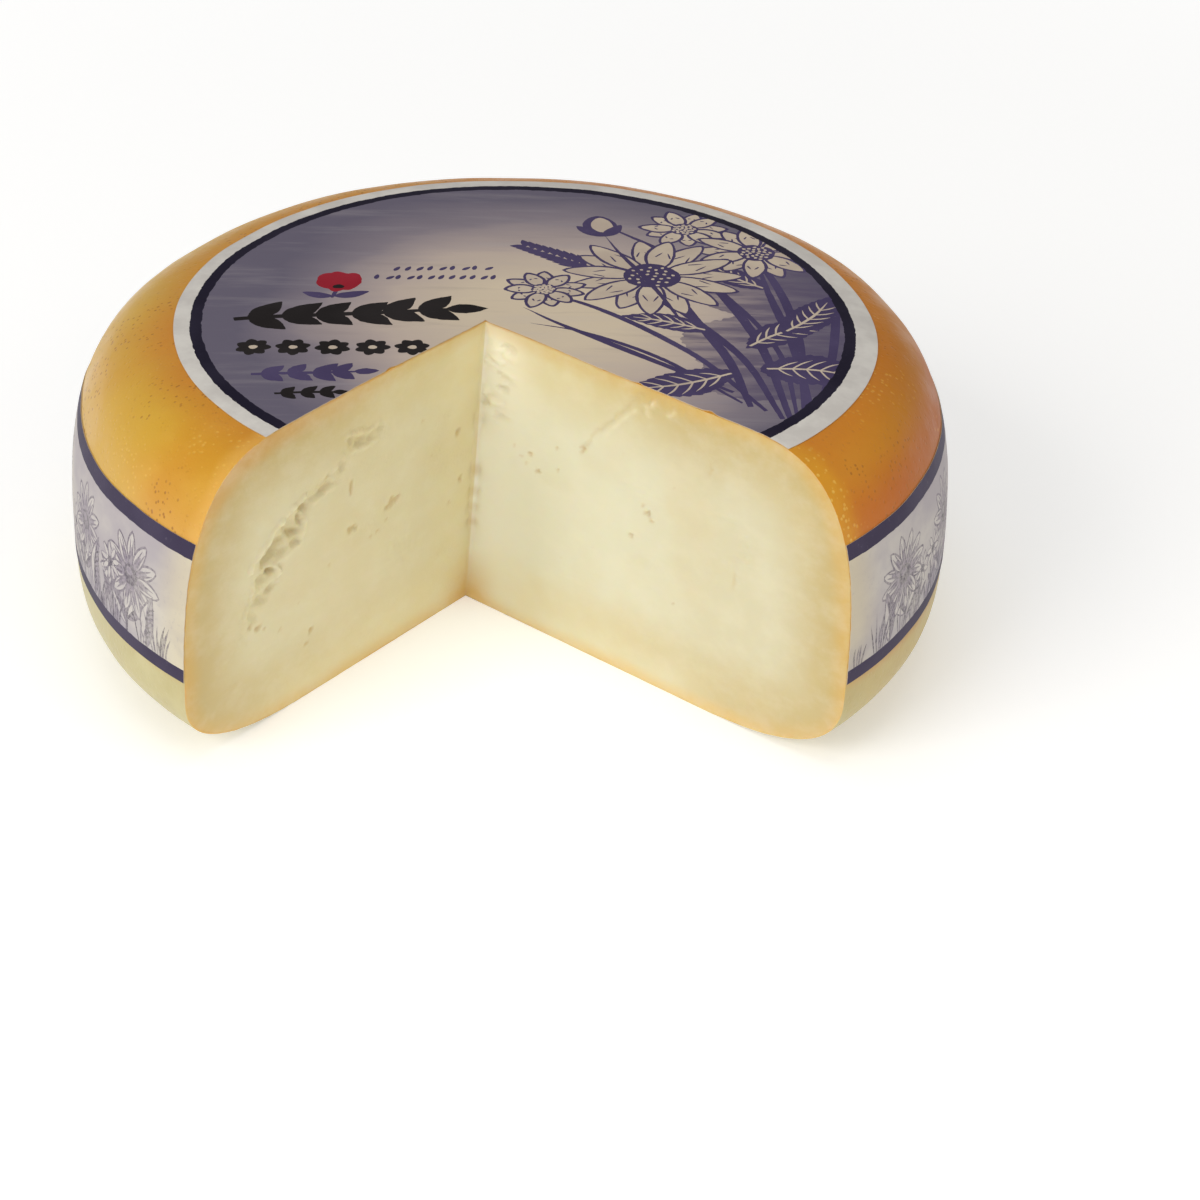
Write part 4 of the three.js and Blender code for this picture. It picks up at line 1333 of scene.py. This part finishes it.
def shaded_leaf(base, angle, length, width, bend, hatch=5):
    """A pencilled leaf: an outline, a soft tone, a light half, a midrib and a few hatch lines."""
    pen(leaf(base, angle, length, width, bend), "pencil", 0.06)
    a = math.radians(angle)
    c, s = math.cos(a), math.sin(a)
    q = (base[0] + 0.5 * c, base[1] + 0.5 * s)
    pen(leaf(q, angle, length - 1.5, width - 1.5, bend, n=11), "tone")

    def spot(t, side):
        x, y = t * length, bend * length * math.sin(math.pi * t) * 0.5 + bend * length * t * t * 0.5 + side
        return (base[0] + x * c - y * s, base[1] + x * s + y * c)

    pen(stroke([spot(t, 0.25 * width * math.sin(math.pi * t)) for t in (0.1, 0.3, 0.55, 0.8)], 0.34 * width, 0.3, 0.1, 1.2), "wash")
    pen(stroke([spot(t, 0) for t in (0.03, 0.3, 0.6, 0.92)], 0.8, 0.9, 0.2, 1.2), "pencil_dark")
    for k in range(hatch):
        t = 0.18 + 0.6 * k / hatch
        pen(stroke([spot(t, -0.1), spot(t + 0.06, -0.17 * width), spot(t + 0.11, -0.34 * width)], 0.6, 0.8, 0.2, 1.8), "pencil_dark")


def big_bloom(x, y, r, petals, lean, tilt=1.0):
    """A large pencilled flower head, seen a little from the side, on its stem with leaves."""
    pen(stroke([(x - 3 * lean, IN_LOW - 1), (x - 1.6 * lean, (IN_LOW + y) / 2), (x, y - 0.3 * r)], 1.3, 0.9, 0.6, 1.3), "pencil_dark")
    shaded_leaf((x - 2.2 * lean, IN_LOW + 1.5), 90 + 52 * lean, 13.5, 5.4, -0.16 * lean)
    shaded_leaf((x - 2.0 * lean, IN_LOW + 4.0), 90 - 56 * lean, 12.0, 4.8, 0.16 * lean)
    turn = rnd.uniform(0, 360)
    for group in (range(0, petals, 2), range(1, petals, 2)):
        for k in group:
            a = turn + 360 * k / petals
            ca, sa = math.cos(math.radians(a)), math.sin(math.radians(a)) * tilt
            ang = math.degrees(math.atan2(sa, ca))
            length = r * math.hypot(ca, sa)
            base = (x + 0.22 * r * ca, y + 0.22 * r * sa)
            w = 2 * math.pi * r / petals * 0.74
            pen(leaf(base, ang, length, w, 0.04, 0.66), "pencil", 0.06)
            pen(leaf((base[0] + 0.5 * ca, base[1] + 0.5 * sa), ang, length - 1.3, w - 1.35, 0.04, 0.66, 9), "wash")
            pen(leaf((base[0] + 0.5 * ca, base[1] + 0.5 * sa), ang, length * 0.52, w * 0.52, 0.0, 0.8, 8), "tone")
            for off in (-0.12, 0.12):
                q0 = (x + 0.42 * r * math.cos(math.radians(a + 60 * off)), y + 0.42 * r * tilt * math.sin(math.radians(a + 60 * off)))
                q1 = (x + 0.98 * r * math.cos(math.radians(a + 30 * off)), y + 0.98 * r * tilt * math.sin(math.radians(a + 30 * off)))
                pen(stroke([q0, ((q0[0] + q1[0]) / 2, (q0[1] + q1[1]) / 2), q1], 0.6, 0.9, 0.2, 2.2), "pencil")
    pen(blob((x, y), 0.31 * r, 0.29 * r * tilt, 0, 0.05, 1, 18), "pencil_dark", 0.12)
    pen(blob((x - 0.06 * r, y + 0.08 * r), 0.15 * r, 0.11 * r * tilt, 0, 0.06, 2, 12), "tone")


def tuft(x, size, n):
    for k in range(n):
        lean = (k - (n - 1) / 2) / n * 1.5 + rnd.uniform(-0.15, 0.15)
        top = size * rnd.uniform(0.65, 1.0)
        pts = [(x + k * 0.9 - n * 0.45, IN_LOW - 1), (x + k * 0.9 - n * 0.45 + lean * top * 0.25, IN_LOW + top * 0.5), (x + lean * top * 0.8, keep(IN_LOW + top))]
        pen(stroke(pts, rnd.uniform(0.6, 1.0), 0.8, 0.1, 2.2), "pencil" if k % 3 else "pencil_dark")


def small_flower(x, height, r, petals):
    y = keep(IN_LOW + height)
    pen(stroke([(x + rnd.uniform(-3, 3), IN_LOW - 1), (x + rnd.uniform(-1.5, 1.5), (IN_LOW + y) / 2), (x, y - r * 0.4)], 0.7, 0.8, 0.5, 1.3), "pencil_dark")
    turn = rnd.uniform(0, 360)
    for k in range(petals):
        a = turn + 360 * k / petals
        base = (x + 0.28 * r * math.cos(math.radians(a)), y + 0.28 * r * math.sin(math.radians(a)))
        pen(leaf(base, a, r, 2 * math.pi * r / petals * 0.66, rnd.uniform(-0.1, 0.1), 0.7), "pencil", 0.05)
        q = (base[0] + 0.30 * math.cos(math.radians(a)), base[1] + 0.30 * math.sin(math.radians(a)))
        pen(leaf(q, a, r - 1.0, 2 * math.pi * r / petals * 0.66 - 0.95, 0, 0.7, 8), "wash")
    pen(blob((x, y), r * 0.30, r * 0.28, 0, 0.05, 1, 12), "pencil_dark")
    for side in (-1, 1):
        pen(leaf((x + rnd.uniform(-0.8, 0.8), IN_LOW + height * rnd.uniform(0.2, 0.45)), 90 + side * rnd.uniform(38, 60), rnd.uniform(5, 8), 2.2, -0.15 * side), "pencil", 0.05)


def clump(x, lean):
    """One drawn group: a big bloom between grasses, with smaller flowers beside it."""
    tuft(x - 9 * lean, rnd.uniform(15, 20), 6)
    small_flower(x - 13 * lean, rnd.uniform(11, 15), rnd.uniform(4.0, 5.2), 8)
    big_bloom(x, IN_LOW + rnd.uniform(17.0, 19.5), rnd.uniform(9.6, 11.4), rnd.randint(10, 13), lean, 0.9)
    shaded_leaf((x + 7.0 * lean, IN_LOW - 0.5), 90 - 16 * lean, rnd.uniform(17, 21), 6.2, 0.14 * lean, 7)
    tuft(x + 12.5 * lean, rnd.uniform(12, 17), 5)


clump(U1 - 25.0, 1)
clump(U0 + 27.0, -1)
x, lean = U0 + 62.0, 1
while x < U1 - 52:
    clump(x, lean)
    small_flower(x + 19 * lean, rnd.uniform(14, 20), rnd.uniform(4.6, 5.8), 9)
    x += rnd.uniform(37, 42)
    lean = -lean
x = U0 + 5
while x < U1 - 6:
    tuft(x, rnd.uniform(6, 11), rnd.randint(3, 6))
    x += rnd.uniform(8, 13)
stripe(BAND_LOW - 3, BAND_LOW + 4.2, 471)
stripe(BAND_HIGH - 4.2, BAND_HIGH + 3, 481)

gx, gz = np.meshgrid(np.arange(U0 + 1.5, U1 - 1.0, 5.4), np.arange(BAND_LOW + 1.6, BAND_HIGH - 1.0, 5.4))
loose = np.column_stack([gx.ravel(), gz.ravel()])
lo_end = np.interp(loose[:, 1], zs, end_r)
hi_end = np.interp(loose[:, 1], zs, end_l)
loose = loose[(loose[:, 0] > lo_end + 0.7) & (loose[:, 0] < hi_end - 0.7)]
seam_z = np.arange(BAND_LOW + 0.8, BAND_HIGH - 0.6, 1.6)
for off in (0.0, 0.05, 8.0, 8.6):
    loose = np.vstack([loose, np.column_stack([np.full(len(seam_z), SEAM + off), seam_z])])
flat, tris, top = triangulated(band_outline, [P for P, _ in strokes], loose)
TONES = ["ground", "pencil", "pencil_dark", "wash", "tone", "stripe", "paper"]
index = [0 if o < 0 else TONES.index(strokes[o][1]) for o in top]


def band_ground(m):
    at = m.here()
    x, y, z = m.split(at)
    cloudy = m.noise(m.stretched(at, (1, 1, 1.6)), 24.0, 4.0, 0.6)
    c = m.mix(m.ramp(cloudy, 0.34, 0.68), srgb(168, 160, 163), srgb(196, 190, 181))
    c = m.mix(m.ramp(m.stored("end_gap"), 0.5, 15.0, 0.55, 0.0), c, srgb(212, 199, 160))
    grain = m.noise(at, 650.0, 3.0, 0.7)
    c = m.mix(m.ramp(grain, 0.56, 0.72, 0.0, 0.24), c, srgb(156, 149, 156))
    shadow = m.ramp(z, 0.033, 0.048, 0.5, 0.0)
    return m.mix(m.math("MULTIPLY", shadow, m.ramp(cloudy, 0.65, 0.4)), c, srgb(152, 146, 156))


def penned(name, colour, share):
    m = paper(name, None, 0.55)
    at = m.here()
    dry = m.noise(at, 800.0, 3.0, 0.75)
    slow = m.noise(at, 55.0, 3.0, 0.5)
    lay = m.math("MULTIPLY", m.ramp(dry, 0.34, 0.62, share, share * 0.45), m.ramp(slow, 0.3, 0.7, 1.0, 0.72))
    m.set("Base Color", m.mix(lay, band_ground(m), srgb(*colour)))
    m.set("Normal", fibres(m))
    return m


ground = paper("band_ground", None, 0.55)
ground.set("Base Color", band_ground(ground))
ground.set("Normal", fibres(ground))
pencil = penned("band_pencil", (92, 82, 98), 0.95)
pencil_dark = penned("band_pencil_dark", (64, 56, 72), 1.0)
wash = penned("band_wash", (204, 198, 190), 0.7)
tone = penned("band_tone", (126, 116, 130), 0.9)
stripe_ink = inked("band_stripe", (58, 50, 72), 0.35, (112, 104, 118))
end_gap = np.minimum(flat[:, 0] - np.interp(flat[:, 1], zs, end_r), np.interp(flat[:, 1], zs, end_l) - flat[:, 0])
band = shell(
    "side_band_paper", flat, tris, on_side, (0.05, 0.26),
    [ground.mat, pencil.mat, pencil_dark.mat, wash.mat, tone.mat, stripe_ink.mat, raw.mat],
    index, "side_band", {"end_gap": end_gap},
)

# ------------------------------------------------------------------ floor, light and camera
floor_mesh = bpy.data.meshes.new("floor")
floor_mesh.from_pydata([(-40, -40, 0), (40, -40, 0), (40, 40, 0), (-40, 40, 0)], [], [(0, 1, 2, 3)])
floor = bpy.data.objects.new("floor", floor_mesh)
bpy.context.scene.collection.objects.link(floor)
white = Shade("floor_white", Roughness=0.85)
white.set("Base Color", (0.94, 0.94, 0.935, 1))
white.set("Specular IOR Level", 0.1)
white.set("Emission Color", (1, 1, 1, 1))
fx, fy, _ = white.split(white.here())
far = white.math("SQRT", white.math("ADD", white.math("MULTIPLY", fx, fx), white.math("MULTIPLY", fy, fy)))
white.set("Emission Strength", white.ramp(far, 0.25, 1.6, 0.24, 0.62))
floor_mesh.materials.append(white.mat)
floor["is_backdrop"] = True

world = bpy.data.worlds.new("studio")
bpy.context.scene.world = world
world.use_nodes = True
wt = world.node_tree
back = wt.nodes["Background"]
back.inputs[0].default_value = (1.0, 1.0, 1.0, 1)
direction = wt.nodes.new("ShaderNodeTexCoord")
parts = wt.nodes.new("ShaderNodeSeparateXYZ")
fade = wt.nodes.new("ShaderNodeMapRange")
wt.links.new(direction.outputs["Generated"], parts.inputs[0])
wt.links.new(parts.outputs[1], fade.inputs["Value"])
for key, value in (("From Min", -0.5), ("From Max", 0.7), ("To Min", 0.64), ("To Max", 0.26)):
    fade.inputs[key].default_value = value
seen = wt.nodes.new("ShaderNodeLightPath")
pick = wt.nodes.new("ShaderNodeMix")
wt.links.new(seen.outputs["Is Camera Ray"], pick.inputs[0])
wt.links.new(fade.outputs[0], pick.inputs[2])
pick.inputs[3].default_value = 0.96
wt.links.new(pick.outputs[0], back.inputs[1])


def area(name, place, aim, size, watts, colour):
    light = bpy.data.lights.new(name, "AREA")
    light.shape, light.size, light.energy, light.color = "SQUARE", size, watts, colour
    ob = bpy.data.objects.new(name, light)
    ob.location = place
    ob.rotation_euler = (Vector(aim) - Vector(place)).to_track_quat("-Z", "Y").to_euler()
    bpy.context.scene.collection.objects.link(ob)


area("key", (-1.05, -1.0, 0.95), (0, 0, 0.05), 0.9, 12.5, (1.0, 0.99, 0.97))
area("top", (-0.1, -0.1, 1.6), (0, 0, 0.08), 1.1, 4.0, (1.0, 0.99, 0.98))
area("fill", (1.2, -0.9, 0.7), (0, 0, 0.05), 1.2, 3.7, (1.0, 0.95, 0.83))

bpy.context.scene.view_settings.view_transform = "Standard"
bpy.context.scene.view_settings.look = "None"

forward = Vector((0.03590316, 0.84387751, -0.53533328))
right = Vector((0.99918416, -0.02039975, 0.03485489))
up = Vector((-0.01849259, 0.53614793, 0.84392145))
cam_data = bpy.data.cameras.new("camera")
cam_data.lens, cam_data.sensor_width, cam_data.sensor_fit = 75.0, 36.0, "AUTO"
cam = bpy.data.objects.new("camera", cam_data)
turn = Matrix((right, up, -forward)).transposed().to_4x4()
cam.matrix_world = Matrix.Translation((0.0, -0.630554, 0.398569)) @ turn
bpy.context.scene.collection.objects.link(cam)
bpy.context.scene.camera = cam

low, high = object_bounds()
